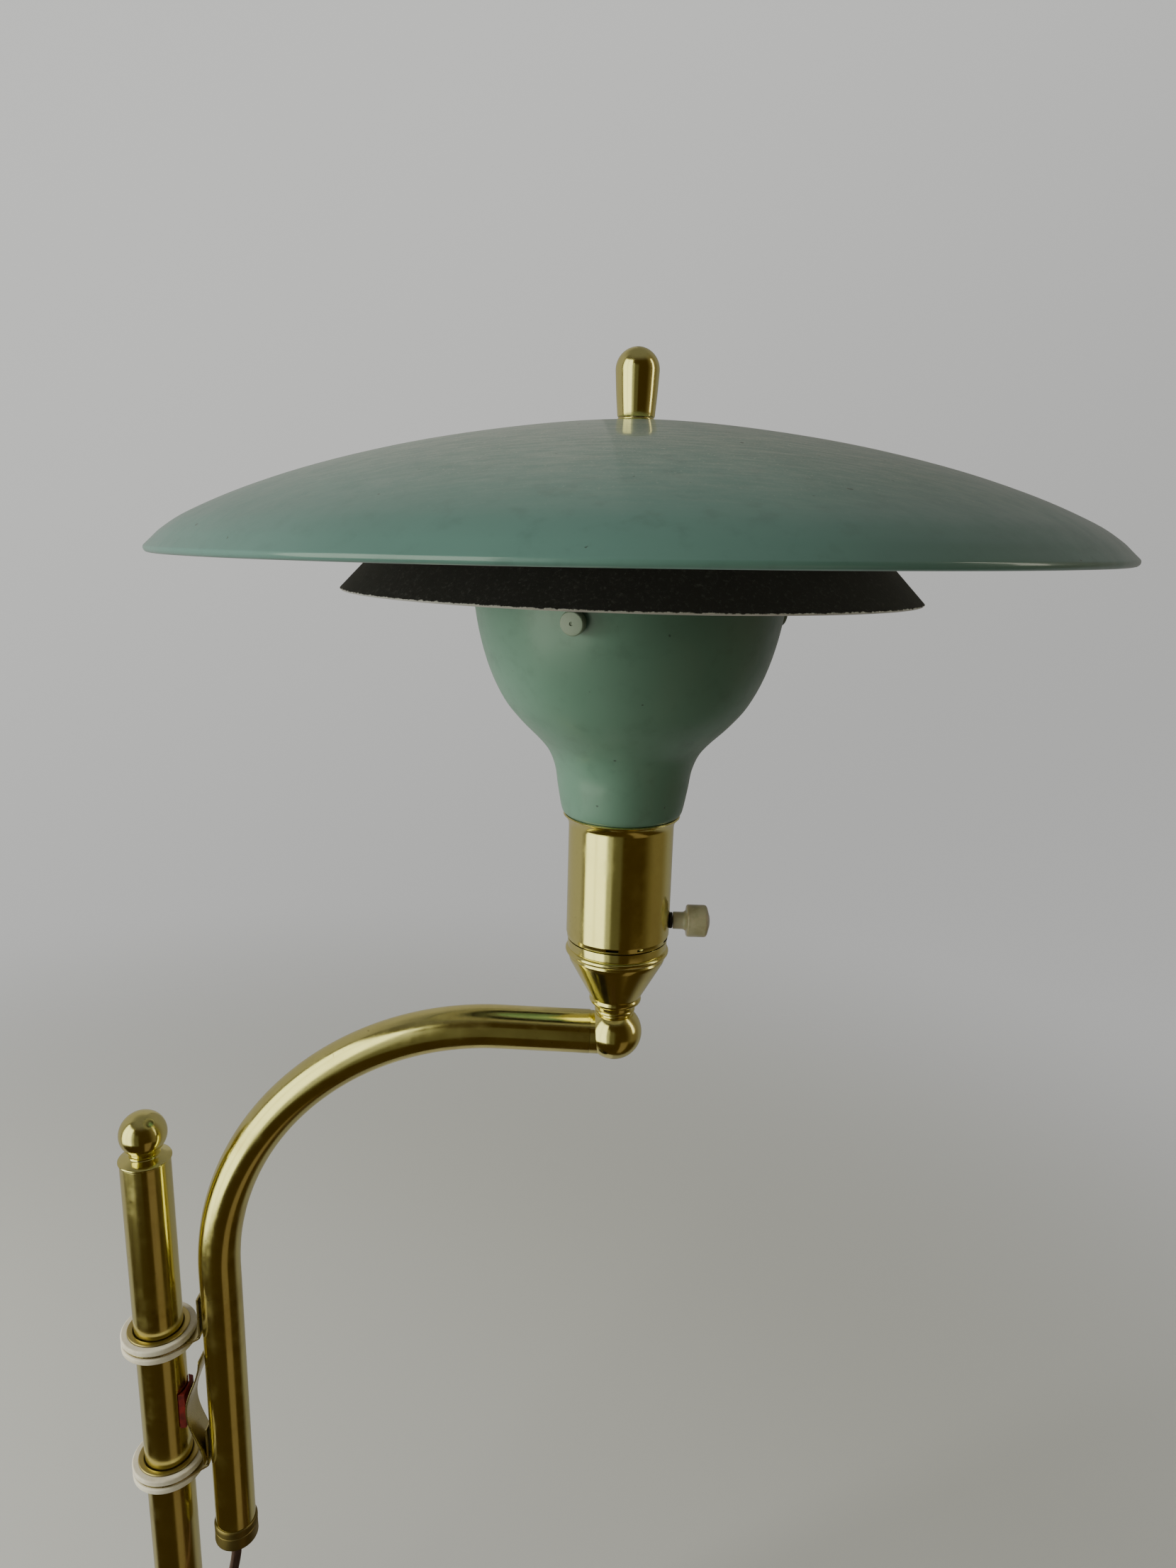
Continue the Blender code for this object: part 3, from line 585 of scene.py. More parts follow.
# %% Shell
barrel = seat("socket_shell")
height = barrel.top - barrel.foot
lip = smooth(((22.0, height - 4.6), (22.25, height - 3.0), (23.2, height - 1.2), (24.4, height)), 4)
barrel_line = [(21.2, 0), (21.6, 0.5), (21.7, 1.9), (22.0, 2.6), *lip]
shell = turned("holder_shell", walled(barrel_line, -0.7), HEAD, barrel.foot, 0.1, 128)
CATCHES = ((-97, 5.2), (-65, 3.0), (-20, 5.2), (83, 5.2), (160, 5.2))  # azimuth and width
CATCH_R, CATCH_UP = 21.8, 1.5
for azimuth, wide in CATCHES:
    turn = math.radians(azimuth)
    bpy.ops.object.select_all(action="DESELECT")
    spot = Vector((HEAD[0] + CATCH_R * math.cos(turn), CATCH_R * math.sin(turn), barrel.foot + CATCH_UP))
    bpy.ops.mesh.primitive_cube_add(size=1, location=spot * MM, rotation=(0, 0, turn),
                                    scale=Vector((3.0, wide, 1.0)) * MM)
    combined(shell, bpy.context.object)
fit(shell, turned_brass, "arm", "socket_shell")

# %% [markdown]
# ## The cup, the rings and the ball
#
# Each is turned. The ball is a little fuller than its plain solid, and a short boss on the arm's
# side, on which the tube butts, is joined to it with a Boolean.

# %% Cup, rings and ball
cup = seat("socket_cup")
cup_bead = arc(20.9, 25.1, 1.3, -40, 80, 7)
cup_line = [(5.2, 0), (9.2, 0), *arc(9.4, 2.0, 1.9, -75, 40, 8), (11.6, 4.6), (20.3, 20.6), (20.9, 22.6),
            (20.4, 23.4), *cup_bead, (21.3, 27.0), (21.3, cup.top - cup.foot)]
fit(turned("holder_cup", walled(cup_line, -1.0), HEAD, cup.foot, 0.08, 112), turned_brass, "arm",
    "socket_cup")
ball = seat("ball_fitting")
BALL_R = ball.r
ball_z = ball.foot + BALL_R
neck = seat("neck_ring")
neck_line = [(5.2, -0.4), (8.6, -0.4), *arc(8.3, 0.8, 0.9, -70, 75, 6), (7.5, 2.3), (7.5, 3.1),
             *arc(7.9, 4.3, 0.9, -70, 70, 6), (8.4, neck.top - neck.foot), (5.2, neck.top - neck.foot)]
fit(turned("neck_beads", neck_line, HEAD, neck.foot), turned_brass, "arm", "neck_ring")
BEND = 91.5  # the arm's bend, in degrees, and so the way its end faces
ROUND_R = 12.2
CUT_DEG = 46  # the ball is cut off flat above this angle
BOSS_R, BOSS_END = 9.35, 10.6
globe = [(0, -ROUND_R), *arc(0, 0, ROUND_R, -86, CUT_DEG, 28),
         (0, ROUND_R * math.sin(math.radians(CUT_DEG)))]
arm_ball = turned("arm_ball", globe, HEAD, ball_z + ROUND_R - BALL_R)
combined(arm_ball, rod(BOSS_R, BOSS_END, (HEAD[0] - BOSS_END / 2, 0, ball_z), (0, math.radians(BEND), 0)),
         "UNION")
fit(arm_ball, turned_brass, "arm", "ball_fitting")

# %% [markdown]
# ## The switch
#
# The knob turns about a level axis, so it is drawn upright at the middle of the world and then
# tipped over. A fillet joins its stem to its head, and the end is softly rounded.

# %% Knob and bush
stem = seat("switch_knob")
KNOB_Z = (stem.low.z + stem.high.z) / 2
KNOB_R = (stem.high.z - stem.low.z) / 2
long = stem.high.x - stem.low.x
knob_line = [(0, 1.0), (1.6, 1.0), (1.6, 0), (3.5, 0), (3.7, 0.3), (3.7, 3.6),
             *arc(5.5, 3.9, 1.8, 178, 100, 6), *arc(KNOB_R - 0.9, 6.6, 0.9, -60, 0, 4),
             *arc(KNOB_R - 1.5, long - 2.6, 1.5, 0, 62, 6), (4.2, long - 0.7), (2.4, long - 0.15), (0, long)]
fit(turned("turn_knob", knob_line, spokes=64, turn=(0, 90, 0), lift=(stem.low.x, 0, KNOB_Z)),
    ivory_plastic, "switch_knob", "switch_knob")
bush = seat("knob_bush")
bush_long = bush.high.x - bush.low.x
bush_line = [(1.9, 0), (2.9, 0), (2.9, 2.2), (3.5, 2.4), (3.5, bush_long - 0.1), (3.3, bush_long),
             (1.9, bush_long)]
fit(turned("switch_bush", bush_line, spokes=48, turn=(0, 90, 0), lift=(bush.low.x, 0, KNOB_Z)),
    black_phenolic, "arm", "knob_bush")

# %% [markdown]
# ## The bent arm
#
# The arm is one length of tube, bent on a former. It is made as the bender makes it: a circle is
# extruded straight up, spun about the centre of the bend, and extruded on to the ball. A wall is
# then given with Solidify.

# %% Arm
TUBE_R, TUBE_WALL = 9.525, 1.2
BEND_R = 128.0
BUTT_GAP = 0.1  # between the tube and the boss on the ball
ARM_X = arm_foot.x
tube = seat("arm_tube")
centre_x = ARM_X + BEND_R
bend = math.radians(BEND)
bend_end = centre_x - BEND_R * math.cos(bend)
centre_z = ball_z + math.tan(bend - math.pi / 2) * (HEAD[0] - bend_end) - BEND_R * math.sin(bend)
bpy.ops.object.select_all(action="DESELECT")
bpy.ops.mesh.primitive_circle_add(vertices=64, radius=TUBE_R * MM, location=(ARM_X * MM, 0, tube.foot * MM))
arm = bpy.context.object
arm.name = "bent_arm"
bpy.ops.object.mode_set(mode="EDIT")
bpy.ops.mesh.select_all(action="SELECT")
for share in (0.5, 0.5):
    pulled(0, 0, (centre_z - tube.foot) * share)
bpy.ops.mesh.spin(steps=72, angle=bend, center=(centre_x * MM, 0, centre_z * MM), axis=(0, -1, 0))
run = (HEAD[0] - bend_end) / math.sin(bend) - BOSS_END - BUTT_GAP
pulled(run * math.sin(bend), 0, run * math.cos(bend))
completed(arm)
applied(arm, "SOLIDIFY", thickness=TUBE_WALL * MM, offset=-1)
fit(arm, bent_brass, "arm", "arm_tube")

# %% [markdown]
# ## The cap at the arm's foot
#
# A thick cap closes the arm, knurled on its shoulder so that it can be gripped. The knurl is real
# relief: every other row of points round the shoulder is drawn in a little towards the axis.

# %% End cap and its bush
cap_high = arm_foot.top - arm_foot.foot
CAP_R = arm_foot.r
cap_line = [(4.3, 0), *arc(CAP_R - 1.3, 1.3, 1.3, -80, 0, 6), (CAP_R - 0.15, 6.9), (CAP_R - 0.5, 7.2),
            (CAP_R - 0.1, 7.5), (CAP_R, cap_high - 1.2), (CAP_R - 0.25, cap_high - 0.35),
            (CAP_R - 0.7, cap_high), (9.6, cap_high), (9.6, 1.6), (4.3, 1.6)]
KNURLS = 90
KNURL_UP, KNURL_RIM = 7.3, 0.6  # the knurl starts so high, and lies so near the outside
KNURL_IN = 0.978  # how far its grooves are drawn in
foot_cap = turned("arm_cap", cap_line, (ARM_X, 0), arm_foot.foot, spokes=2 * KNURLS)
bpy.ops.object.mode_set(mode="EDIT")


def in_knurl_groove(vert):
    x, y, z = vert.co.x / MM - ARM_X, vert.co.y / MM, vert.co.z / MM - arm_foot.foot
    row = round(math.degrees(math.atan2(y, x)) / (180 / KNURLS))
    return row % 2 == 0 and z > KNURL_UP and math.hypot(x, y) > CAP_R - KNURL_RIM


grooves = pick(in_knurl_groove)
bpy.ops.transform.resize(value=(KNURL_IN, KNURL_IN, 1), center_override=(ARM_X * MM, 0, 0))
bpy.ops.object.mode_set(mode="OBJECT")
fit(foot_cap, aged_brass, "arm", "arm_end_cap")
print("knurl points:", grooves)
relief = seat("cord_bush")
bush_line = [(3.1, 0), (5.0, 0), *arc(5.2, 0.8, 0.8, -80, 0, 5), (6.0, 1.3), (4.0, 1.3), (4.0, 5.2),
             (3.1, 5.2)]
fit(turned("flex_bush", bush_line, (ARM_X, 0), relief.foot, spokes=48), black_phenolic, "arm",
    "cord_bush")

# %% [markdown]
# ## The post
#
# A straight brass tube, closed by a stepped plug and a ball that screws down on the tie rod. Where
# the ball was turned it runs into a short neck, and the plug has a rounded shoulder.

# %% Post, plug and ball
post_high = post.top - post.foot
post_line = [(10.1, 0), (post.r, 0), (post.r, post_high), (10.1, post_high)]
fit(turned("post", post_line, foot=post.foot, edge=0.3), drawn_brass, "stand", "post_tube")
knob_top = seat("post_ball")
shoulder = seat("post_flange")
shoulder_high = shoulder.top - shoulder.foot
step_up = shoulder_high - 3.1
slope = ((10.2, step_up + 1.6), (8.6, step_up + 2.3), (7.4, step_up + 2.9), (7.0, step_up + 3.4))
shoulder_line = [(5.1, 0), (9.8, 0), (9.8, step_up - 0.3), (11.3, step_up - 0.3),
                 *arc(11.1, step_up + 0.5, 0.6, -70, 75, 6), *smooth(slope, 3), (5.1, step_up + 3.4)]
fit(turned("post_shoulder", shoulder_line, foot=shoulder.foot), turned_brass, "stand",
    "post_flange")
POST_BALL_R = knob_top.r
NECK_R = 6.9
ball_up = knob_top.top - POST_BALL_R
low = -math.degrees(math.acos(NECK_R / POST_BALL_R))
neck_up = POST_BALL_R * math.sin(math.radians(low))
globe = [(5.1, -10.2), (6.5, -10.2), *smooth(((6.5, -9.9), (6.6, -9.1), (NECK_R, neck_up)), 3),
         *arc(0, 0, POST_BALL_R, low + 4, 89, 26), (0, POST_BALL_R)]
fit(turned("post_knob", [(0, -8.0), (5.1, -8.0), *globe], foot=ball_up), turned_brass, "stand",
    "post_ball")

# %% [markdown]
# ## The two clips
#
# Each clip is a brass plate between two thick cream washers. A grommet lines the bore, and the
# plate's ear turns up along the arm and is brazed to it. Three ways of making such parts come first:
# a ring with round corners, a strap drawn from the side, and an outline that is filled and raised.

# %% Straps, plates and rounded rings


def rounded_ring(inner, outer, high, edge):
    """The outline of a ring whose four corners are round."""
    corners = ((inner, 0, 180), (outer, 0, 270), (outer, high, 0), (inner, high, 90))
    line = []
    for r, h, first in corners:
        away = edge if r == inner else -edge
        line += arc(r + away, h + (edge if h == 0 else -edge), edge, first, first + 90, 5)
    return line


def strap(name, line, wide, thick, edge=0.2):
    """A bent strip: a line of (x, z) points, pulled out along Y and thickened to both sides."""
    piece = draw(name, [(x, -wide / 2, z) for x, z in line])
    bpy.ops.mesh.select_all(action="SELECT")
    pulled(0, wide, 0)
    completed(piece)
    applied(piece, "SOLIDIFY", thickness=thick * MM, offset=0)
    return broken(piece, edge)


def raised(name, outline, low, high, edge=0.0, at=(0, 0, 0)):
    """A flat outline of (x, y) points, filled and raised from low to high."""
    piece = draw(name, [(x, y, low) for x, y in outline])
    close_line()
    bpy.ops.mesh.select_all(action="SELECT")
    bpy.ops.mesh.edge_face_add()
    pulled(0, 0, high - low)
    return completed(piece, edge, at=at)


def join(first, second):
    bpy.ops.object.select_all(action="DESELECT")
    second.select_set(True)
    first.select_set(True)
    bpy.context.view_layer.objects.active = first
    bpy.ops.object.join()
    return first

# %% [markdown]
# ## Plates, washers and grommets
#
# Both clips are alike, so one loop makes them. The plate's sides leave its round as tangents, and
# the grommet's rim is rolled over it, so that no gap shows inside the washers.

# %% Clips
EAR_HALF = 4.2
PLATE_R, PLATE_T = 16.3, 1.0
BORE_R = 13.6  # through the plate and the washers
RING_R = 11.56  # inside the grommet, which runs on the post
for name in ("upper", "lower"):
    plate = seat(f"{name}_flange")
    middle = plate.foot + PLATE_T / 2
    tip = Vector((plate.high.x, EAR_HALF))
    leaves = math.degrees(math.atan2(tip.y, tip.x) + math.acos(PLATE_R / tip.length))
    rim = arc(0, 0, PLATE_R, leaves, 360 - leaves, 61)
    disc = raised(f"{name}_clip_plate", [(tip.x - 1.2, -tip.y), (tip.x - 1.2, tip.y), *rim], plate.foot,
                  plate.foot + PLATE_T, 0.2)
    combined(disc, rod(BORE_R, 4 * PLATE_T, (0, 0, middle)))
    corner = arc(tip.x - 2.0, middle + 1.5, 1.5, -90, 0, 7)
    ear = strap(f"{name}_ear", [(tip.x - 4.5, middle), *corner, (tip.x - 0.5, plate.top)], 2 * EAR_HALF,
                PLATE_T)
    fit(join(disc, ear), spring_brass, "arm", f"{name}_flange")
    for side in ("top", "bottom"):
        washer = seat(f"{name}_washer_{side}")
        line = rounded_ring(BORE_R, washer.r, washer.top - washer.foot, 0.75)
        fit(turned(f"{name}_washer_{side}_round", line, foot=washer.foot), cream_nylon, "arm",
            f"{name}_washer_{side}")
    grommet = seat(f"{name}_eyelet")
    tall = grommet.top - grommet.foot
    line = [(RING_R, 0.7), (RING_R + 0.1, 0.2), (RING_R + 0.4, 0), (grommet.r - 0.3, 0), (grommet.r, 0.3),
            (grommet.r, tall - 0.84), (grommet.r + 0.6, tall - 0.82), (grommet.r + 0.8, tall - 0.5),
            (grommet.r + 0.5, tall - 0.12), (grommet.r, tall), (RING_R + 0.6, tall),
            (RING_R + 0.1, tall - 0.2), (RING_R, tall - 0.7)]
    fit(turned(f"{name}_grommet", line, foot=grommet.foot), satin_brass, "guide",
        f"{name}_eyelet")

# %% [markdown]
# ## The leaf spring and its pad
#
# A bowed leaf bears on the arm at both ends and presses a red fibre pad against the post, so that
# the arm stays where it is put. The bow is half a cosine, flatter at its ends and at its crown.

# %% Spring and pad
leaf = seat("brake_spring")
LEAF_T = 0.8
LEAF_CROWN = leaf.low.x + LEAF_T / 2
FEET_OFF = (0.75, 0.05)  # how far the lower and the upper foot stay off the arm
feet = [leaf.high.x - LEAF_T / 2 - off for off in FEET_OFF]
half = (leaf.top - leaf.foot) / 2
HALF_STEPS = 20
line = []
for i in range(2 * HALF_STEPS + 1):
    t = -1 + i / HALF_STEPS
    bow = (1 - math.cos(math.pi * abs(t))) / 2
    line.append((LEAF_CROWN + (feet[t > 0] - LEAF_CROWN) * bow, leaf.foot + half * (1 + t)))
fit(strap("leaf_spring", line, leaf.high.y - leaf.low.y, LEAF_T), spring_brass, "arm",
    "brake_spring")
POST_GAP = 0.4  # between the post and what stands round it
pad = seat("brake_pad")
hug = post.r + POST_GAP
pad_half = pad.high.y - 0.1
wrap = math.degrees(math.asin(pad_half / hug))
face = arc(0, 0, hug, -wrap, wrap, 15)
back = [(pad.high.x, pad_half - 0.8), (pad.high.x, 0.8 - pad_half)]
fit(raised("fibre_pad", [*face, *back], pad.foot, pad.top, 0.3), red_fibre, "arm", "brake_pad")

# %% [markdown]
# ## The base
#
# A pressed dome of enamelled steel hides a cast iron weight and stands on felt. The post rises out
# of a small brass collar with a hollow curve, so it is drawn with a smooth line.

# %% Base
dome_seat = seat("base_shell")
DOME = ((5.4, 40), (30, 38.6), (54, 34.6), (76, 28), (94, 20.5), (107, 12.2), (112.4, 6.6), (113.6, 3.4))
DOME_R, DOME_EDGE = 114.0, 2.6
dome = [*smooth(DOME), (DOME_R, DOME_EDGE)]
base_dome = turned("base_dome", walled(dome, 1.2), foot=dome_seat.foot - DOME_EDGE, edge=0.15, spokes=128)
fit(base_dome, base_enamel, "stand", "base_shell")
base_dome.visible_glossy = False  # so that the tubes show the room, not a green patch
collar = seat("base_collar")
collar_high = collar.top - collar.foot
bore_r = post.r + POST_GAP
hollow = smooth(((18.2, 1.6), (15.4, 3.2), (14.0, 5.4), (13.5, collar_high - 0.6)), 4)
fit(turned("post_collar", [(bore_r, 0), (18.3, 0), *arc(18.0, 0.8, 0.6, -60, 60, 5), *hollow,
                           (13.2, collar_high), (bore_r, collar_high)], foot=collar.foot), turned_brass,
    "stand", "base_collar")
felt = seat("base_felt")
felt_line = [(0, 0), (felt.r - 0.5, 0), (felt.r, 0.5), (felt.r, 1.8), (felt.r - 0.4, 2.2), (0, 2.2)]
fit(turned("felt_pad", felt_line, foot=felt.foot), green_felt, "stand", "base_felt")

# %% [markdown]
# ## The lamp bulb
#
# A pear bulb with an etched glass shows from below, inside the bowl. Its outline is a smooth curve
# through eight points, and its wall is drawn back inside it.

# %% Bulb
glass = seat("bulb_glass")
PEAR = ((12.4, 0), (13.8, 8), (21.4, 20), (28.6, 33), (29.4, 48), (22.4, 63.5), (10, 72.8), (1.2, 74.6))
pear = smooth(PEAR, 4)
pear_in = [(max(r - 0.8, 0.0), h - 0.6) for r, h in pear[:0:-1]]
fit(turned("pear_bulb", [(0, 74.6), *pear[::-1], (11.6, 0), *pear_in[::-1], (0, 74.0)], HEAD, glass.foot,
           spokes=64), frosted_glass, "arm", "bulb_glass")

# %% [markdown]
# ## The flex
#
# The lamp's lead is a flat twin flex, 5.4 mm wide, as such lamps have: two round cores side by side
# with a groove between. It is swept by hand: a section is set at each point of the route, and its
# width is turned a little at each step towards the way it wants to lie.

# %% Flex section and sweep
FLEX_W, FLEX_T = 5.4, 2.9
CORE_R = FLEX_T / 2
TURN_SHARE = 0.22  # of the way left to turn, at each step
UP = Vector((0, 0, 1))


def flex_section():
    """The outline of two cores side by side, as (along the width, along the thickness)."""
    apart = FLEX_W / 2 - CORE_R
    right_core = arc(apart, 0, CORE_R, -118, 118, 8)
    return [*right_core, *[(-w, -t) for w, t in right_core]]


def swept_flex(name, points, lies):
    """A flex along points. lies holds the way its width wants to lie at each point."""
    points = [Vector(p) for p in points]
    section = flex_section()
    wide = lies[0]
    verts = []
    for before, here, after, lie in zip([points[0], *points], points, [*points[1:], points[-1]], lies,
                                        strict=False):
        along = (after - before).normalized()
        aim = lie if lie.dot(wide) >= 0 else -lie
        wide = wide.lerp(aim, TURN_SHARE)
        wide = (wide - wide.dot(along) * along).normalized()
        deep = along.cross(wide)
        verts += [(here + w * wide + t * deep) * MM for w, t in section]
    sides = len(section)
    steps = [(i * sides, j, (j + 1) % sides) for i in range(len(points) - 1) for j in range(sides)]
    faces = [(row + j, row + k, row + sides + k, row + sides + j) for row, j, k in steps]
    faces += [tuple(range(sides)), tuple(range(len(verts) - sides, len(verts)))]
    mesh = bpy.data.meshes.new(name)
    mesh.from_pydata(verts, [], faces)
    piece = bpy.data.objects.new(name, mesh)
    bpy.context.scene.collection.objects.link(piece)
    bpy.ops.object.select_all(action="DESELECT")
    piece.select_set(True)
    bpy.context.view_layer.objects.active = piece
    bpy.ops.object.mode_set(mode="EDIT")
    return completed(piece)


def along_length(points):
    return sum((Vector(b) - Vector(a)).length for a, b in zip(points, points[1:], strict=False))

# %% [markdown]
# ## The flex's route
#
# The flex leaves the cap at the arm's foot, hangs clear of the post, runs over the base and is put
# away on edge in a round coil, wound inwards in one layer and outwards in a second one above it.

# %% The route, the coil and the tail
ROUTE = (
    (31.0, 0.0, 192.5), (30.9, -0.3, 186.0), (30.2, -2.4, 177.0), (28.4, -7.5, 167.0),
    (25.8, -15.0, 157.5), (23.2, -23.5, 149.0), (21.2, -32.0, 139.5), (20.2, -40.0, 126.0),
    (20.8, -47.0, 109.0), (23.0, -53.0, 90.0), (27.5, -59.5, 71.0), (34.5, -67.0, 54.0),
    (44.5, -75.5, 40.5), (57.5, -83.5, 30.5), (72.0, -90.5, 20.5), (87.0, -95.5, 10.5),
    (101.5, -98.5, 4.6), (118.0, -99.8, 3.1), (136.0, -100.0, 3.0), (154.0, -99.8, 3.0),
    (169.0, -99.6, 3.0),
)
SPLIT = 5  # where the hanging flex stops following the arm's swing
TAIL = ((223.0, -51.0, 3.1), (221.4, -43.0, 3.6), (221.2, -34.0, 5.2), (221.9, -25.0, 6.7),
        (222.0, -18.3, 7.0))
SHARE = 3
LAYERS = (3.1, 8.6)  # the heights of the two layers' middles
IN_TURNS, CLIMB, OUT_TURNS = 4.0, 0.2, 3.0
INNER_R = coil.r - 3.5 * FLEX_T
START_DEG, LEAVE_DEG = -85, -35
STEPS = 24  # to a turn
WAY_OUT = ((-18, 38.6, 8.4), (-5, 40.2, 6.2), (6, 40.6, 4.2))  # degrees, radius and height


def coil_point(turns):
    """A point on the coil after so many turns: inwards below, up at the middle, outwards above."""
    if turns < IN_TURNS:
        r, z = INNER_R + FLEX_T * (IN_TURNS - turns), LAYERS[0]
    elif turns < IN_TURNS + CLIMB:
        share = (turns - IN_TURNS) / CLIMB
        r, z = INNER_R, LAYERS[0] + (LAYERS[1] - LAYERS[0]) * share * share * (3 - 2 * share)
    else:
        r, z = INNER_R + FLEX_T * (turns - IN_TURNS - CLIMB), LAYERS[1]
    angle = math.radians(START_DEG) + math.tau * turns
    return (coil.x + r * math.cos(angle), coil.y + r * math.sin(angle), z)


wound = IN_TURNS + CLIMB + OUT_TURNS
leave = math.floor((wound * 360 + START_DEG - LEAVE_DEG) / 360) * 360 + LEAVE_DEG - START_DEG
coil_line = [coil_point(i / STEPS) for i in range(int(leave / 360 * STEPS) + 1)]
way_out = []
for degrees, r, z in WAY_OUT:
    angle = math.radians(degrees)
    way_out.append((coil.x + r * math.cos(angle), coil.y + r * math.sin(angle), z))
hanging = smooth(ROUTE[:SPLIT + 2], SHARE)[:SPLIT * SHARE + 1]
running = smooth([*ROUTE[SPLIT - 1:], *coil_line[:2]], SHARE)[SHARE:-SHARE - 1]
leaving = smooth([*coil_line[-2:], *way_out, *TAIL], SHARE)[SHARE:]
run_line = [*running, *coil_line[1:], *leaving[1:]]
print("flex, mm:", round(along_length(hanging), 1), "hanging and", round(along_length(run_line), 1), "beyond")

# %% [markdown]
# ## The two lengths of flex
#
# The first length follows the arm's swing and the second the slide, so each is a piece of its own,
# and they meet where the flex hangs free.

# %% The two lengths of flex
HANG_LIE = Vector((0.6, 0.8, 0)).normalized()
HANGS_ABOVE = 60  # the height from which it lies level
EDGE_STEPS = 12  # the steps before the coil in which it turns on edge
PLUG_Y = -46  # from here the tail turns flat for the plug


def lie_at(i, point):
    """Which way the flex's width wants to lie: level over the base, on edge in the coil."""
    here = Vector(point)
    if i >= len(running) + len(coil_line) + 2:
        return Vector((1, 0, 0)) if here.y > PLUG_Y else UP
    if i >= len(running) - EDGE_STEPS:
        return UP
    if here.z > HANGS_ABOVE:
        return HANG_LIE
    return (Vector(run_line[i + 1]) - here).cross(UP).normalized()


hang_lies = [HANG_LIE] * len(hanging)
flex_hanging = swept_flex("flex_hanging", hanging, hang_lies)
flex_run = swept_flex("flex_run", run_line, [lie_at(i, p) for i, p in enumerate(run_line)])
for piece in (flex_hanging, flex_run):
    piece.data.materials.append(brown_flex.material)
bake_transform(flex_hanging)
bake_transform(flex_run)
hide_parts("cord_drop")
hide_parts("cord_run", "cord_coil", "cord_tail")

# %% [markdown]
# ## The plug and the tie
#
# The plug is a flat moulded body with two blades. Its outline is drawn from above, raised and
# rounded. The tie is a paper-covered wire, bent once round the coil.

# %% Plug, blades and tie
plug = seat("plug_body")
body_line = [(-4.6, 0.2), (4.6, 0.2), *smooth(((5.2, 6), (5.8, 9), (8.4, 12), (11.4, 14.2), (12.2, 16.5)), 3),
             (12.2, plug.high.y - plug.low.y)]
body_line += [(-x, y) for x, y in body_line[:1:-1]]
moulded = raised("plug_moulding", body_line, plug.foot, plug.top, 0, at=(plug.x, plug.low.y, 0))
broken(moulded, 1.7, segments=4)
fit(moulded, brown_phenolic, "stand", "plug_body")
TIE_WIDE, TIE_T = 3.2, 0.35
tie_turn = math.radians(60)
across = Vector((math.cos(tie_turn), math.sin(tie_turn), 0))
hold = [(24.8, 5.8), *arc(26.2, 1.6, 1.4, 180, 270, 4), *arc(37.6, 1.6, 1.4, 270, 360, 4), (39.0, 5.8),
        *arc(36.2, 10.2, 1.4, 0, 90, 4), *arc(26.2, 10.2, 1.4, 90, 180, 4)]
centre = Vector((coil.x, coil.y, 0))
along_coil = Vector((-across.y, across.x, 0))
tie = draw("flex_tie", [tuple(centre + across * r + UP * h - along_coil * TIE_WIDE / 2) for r, h in hold])
close_line()
bpy.ops.mesh.select_all(action="SELECT")
pulled(*along_coil * TIE_WIDE)
completed(tie)
applied(tie, "SOLIDIFY", thickness=TIE_T * MM, offset=0)
tie.data.materials.append(black_phenolic.material)
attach(tie, "stand")
BLADE_T = 1.5
HOLE_R, HOLE_BACK = 1.5, 4.6
for i in range(2):
    blade = seat(f"plug_blade_{i}")
    near, far = blade.low.y, blade.high.y
    side_line = [(-3.2, near), (3.2, near), (3.2, far - 1.6), (2.2, far), (-2.2, far), (-3.2, far - 1.6)]
    made = raised(f"brass_blade_{i}", side_line, -BLADE_T / 2, BLADE_T / 2, 0.15)
    made.rotation_euler = (0, math.radians(90), 0)
    made.location = Vector((blade.x, 0, (blade.foot + blade.top) / 2)) * MM
    bpy.ops.object.transform_apply(location=True, rotation=True, scale=True)
    hole_at = (blade.x, far - HOLE_BACK, plug.foot / 2 + plug.top / 2)
    combined(made, rod(HOLE_R, 4 * HOLE_R, hole_at, (0, math.radians(90), 0), 24))
    fit(made, turned_brass, "stand", f"plug_blade_{i}")

# %% [markdown]
# ## The pieces inside
#
# Struts, brackets, hub, rod, nut, nipple and lamp holder keep the shapes of the frame, which are
# right as they are, and take a finish.

# %% Finishes for the frame's own pieces
kept = {plated_steel: ("tie_rod", "rod_washer", "rod_nut", "socket_nipple", "screw_shell", "bulb_cap",
                       "knob_spindle", "shade_stud", "spider_hub", *[f"strut_{i}" for i in range(3)],
                       *[f"baffle_bracket_{i}" for i in range(3)]),
        black_phenolic: ("socket_body",), cast_iron: ("base_weight",)}
for finish, names in kept.items():
    for name in names:
        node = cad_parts[name]
        node.data.materials.clear()
        node.data.materials.append(finish.material)
        edge = node.modifiers.new("edge", "BEVEL")
        edge.width = 0.12 * MM
        edge.limit_method = "ANGLE"
        edge.angle_limit = math.radians(40)
    print(finish.material.name, "on", len(names), "pieces")
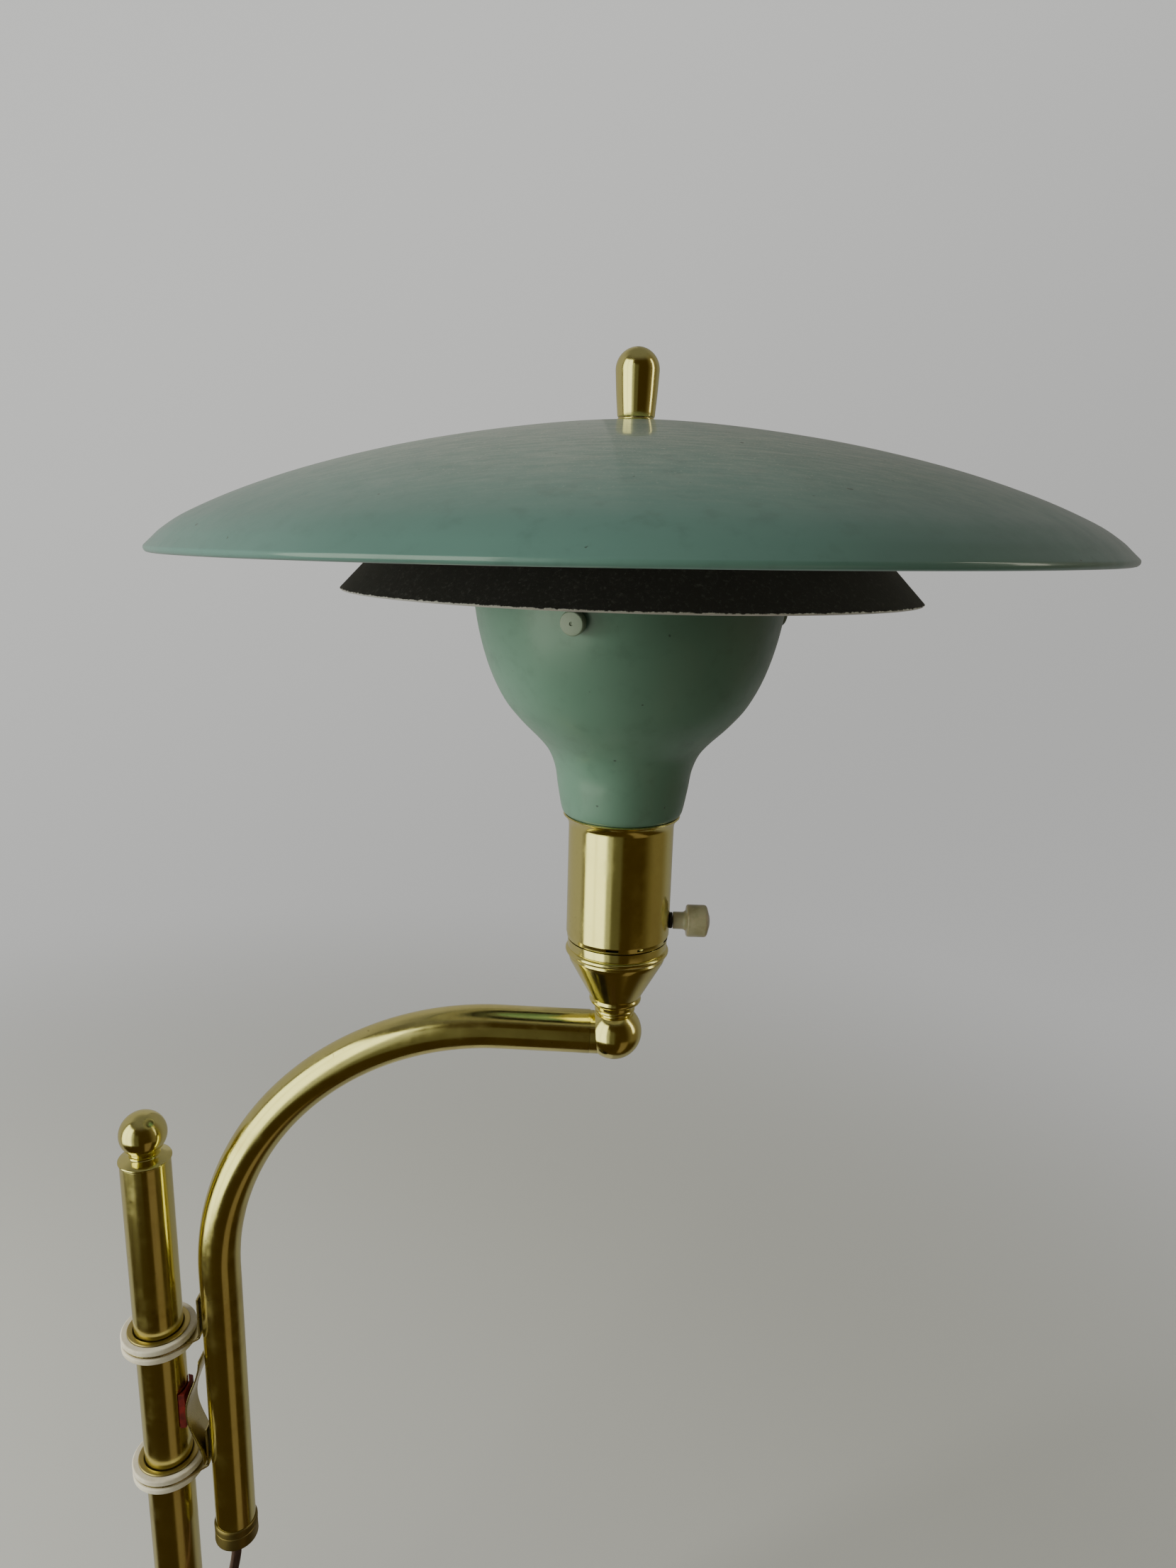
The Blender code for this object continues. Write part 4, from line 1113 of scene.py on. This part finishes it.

# %% [markdown]
# ## The room
#
# Brass shows the room it stands in, so the room is drawn in the world's shader, by heading and by
# height. Heading 0 is the viewer's side, -90 is the left and 90 the right. A tall window with a bar
# stands to the left, a bright strip to the right, and dark brown in between. The camera itself sees
# a pale grey backdrop with painted light on it: lighter towards the top and the left, as a wall lit
# from there would be.

# %% World
world = bpy.data.worlds.new("room")
world.use_nodes = True
bpy.context.scene.world = world
room = Nodes(world.node_tree)
shine = world.node_tree.nodes["Background"]
ray = room.add("ShaderNodeTexCoord", output=0)
x, y, z = room.split(ray)
heading = room.add("ShaderNodeMath", {"operation": "ARCTAN2"}, (x, y * -1.0)) * (180 / math.pi)
left_wall = heading.rise(-80, -98)
right_wall = heading.rise(100, 132)
window = heading.band(-80, -33, 4) * z.band(-0.46, 0.62, 0.06)
bars = 1.0 - 0.35 * heading.band(-58, -54, 2)
sill = heading.band(-31, -20, 3) * z.band(-0.46, 0.4, 0.06)
shelf = heading.band(-17, 0, 5) * z.band(-0.50, 0.3, 0.06)
strip = heading.band(84, 92, 2) * z.band(-0.05, 0.62, 0.05)
glow = heading.band(32, 58, 7) * z.band(-0.92, -0.46, 0.06)
side = heading.rise(48, 80) * z.rise(-0.62, -0.40)
ceiling = z.rise(0.6, 0.95)
colour = room.mix((0.042, 0.027, 0.006), (0.15, 0.125, 0.075), side)
glass_light = room.mix((1.1, 1.1, 0.9), (2.3, 2.4, 1.9), bars)
for tint, where in (((0.36, 0.35, 0.32), left_wall), ((0.22, 0.215, 0.20), right_wall),
                    ((0.17, 0.17, 0.16), ceiling), ((0.10, 0.095, 0.06), shelf), ((0.42, 0.44, 0.38), sill),
                    ((0.19, 0.145, 0.09), glow), ((2.6, 2.5, 2.0), strip), (glass_light, window)):
    colour = room.mix(colour, tint, where)
seen = room.add("ShaderNodeLightPath", output=0)
# painted light: the backdrop is lighter towards the top and the left, where the wall would be lit
backdrop_painted_light = room.mix((0.50, 0.50, 0.49), (0.72, 0.72, 0.70), (z - x * 0.6).rise(-0.5, 0.6))
room.feed(shine.inputs[0], room.mix(colour, backdrop_painted_light, seen))
room.feed(shine.inputs[1], 1.0)
print("room:", len(world.node_tree.nodes), "nodes")

# %% [markdown]
# ## Lights and floor
#
# A large soft light stands where the window is, and a weak one above the viewer. The lights and the
# floor are hidden from reflections, because the brass already shows the drawn room. The pale floor
# fades into the background.

# %% Lights and floor


def soft_light(name, place, aim, wide, high, watts, tint):
    lamp = bpy.data.lights.new(name, "AREA")
    lamp.shape = "RECTANGLE"
    lamp.size = wide
    lamp.size_y = high
    lamp.energy = watts
    lamp.color = tint
    made = bpy.data.objects.new(name, lamp)
    made.location = place
    made.rotation_euler = (Vector(aim) - Vector(place)).to_track_quat("-Z", "Y").to_euler()
    bpy.context.scene.collection.objects.link(made)
    made.visible_glossy = False
    print(f"{name}: {watts} W")


soft_light("window_light", (-1.25, -0.30, 0.90), (0.15, 0, 0.6), 0.6, 0.9, 25, (1.0, 0.99, 0.95))
soft_light("room_light", (0.3, -1.4, 1.5), (0.15, 0, 0.6), 1.6, 1.2, 2.0, (0.98, 0.98, 1.0))
bpy.ops.object.select_all(action="DESELECT")
bpy.ops.mesh.primitive_plane_add(size=6, location=(0, 0, -0.0002))
floor = bpy.context.object
floor.name = "floor"
paper = Finish("floor_paper")
away = paper.add("ShaderNodeVectorMath", {"operation": "LENGTH"}, (paper.place,), 1)
paper.set(Base_Color=(0.62, 0.62, 0.60), Roughness=0.9, Alpha=away.rise(1.5, 0.5))
floor.data.materials.append(paper.material)
floor.visible_glossy = False
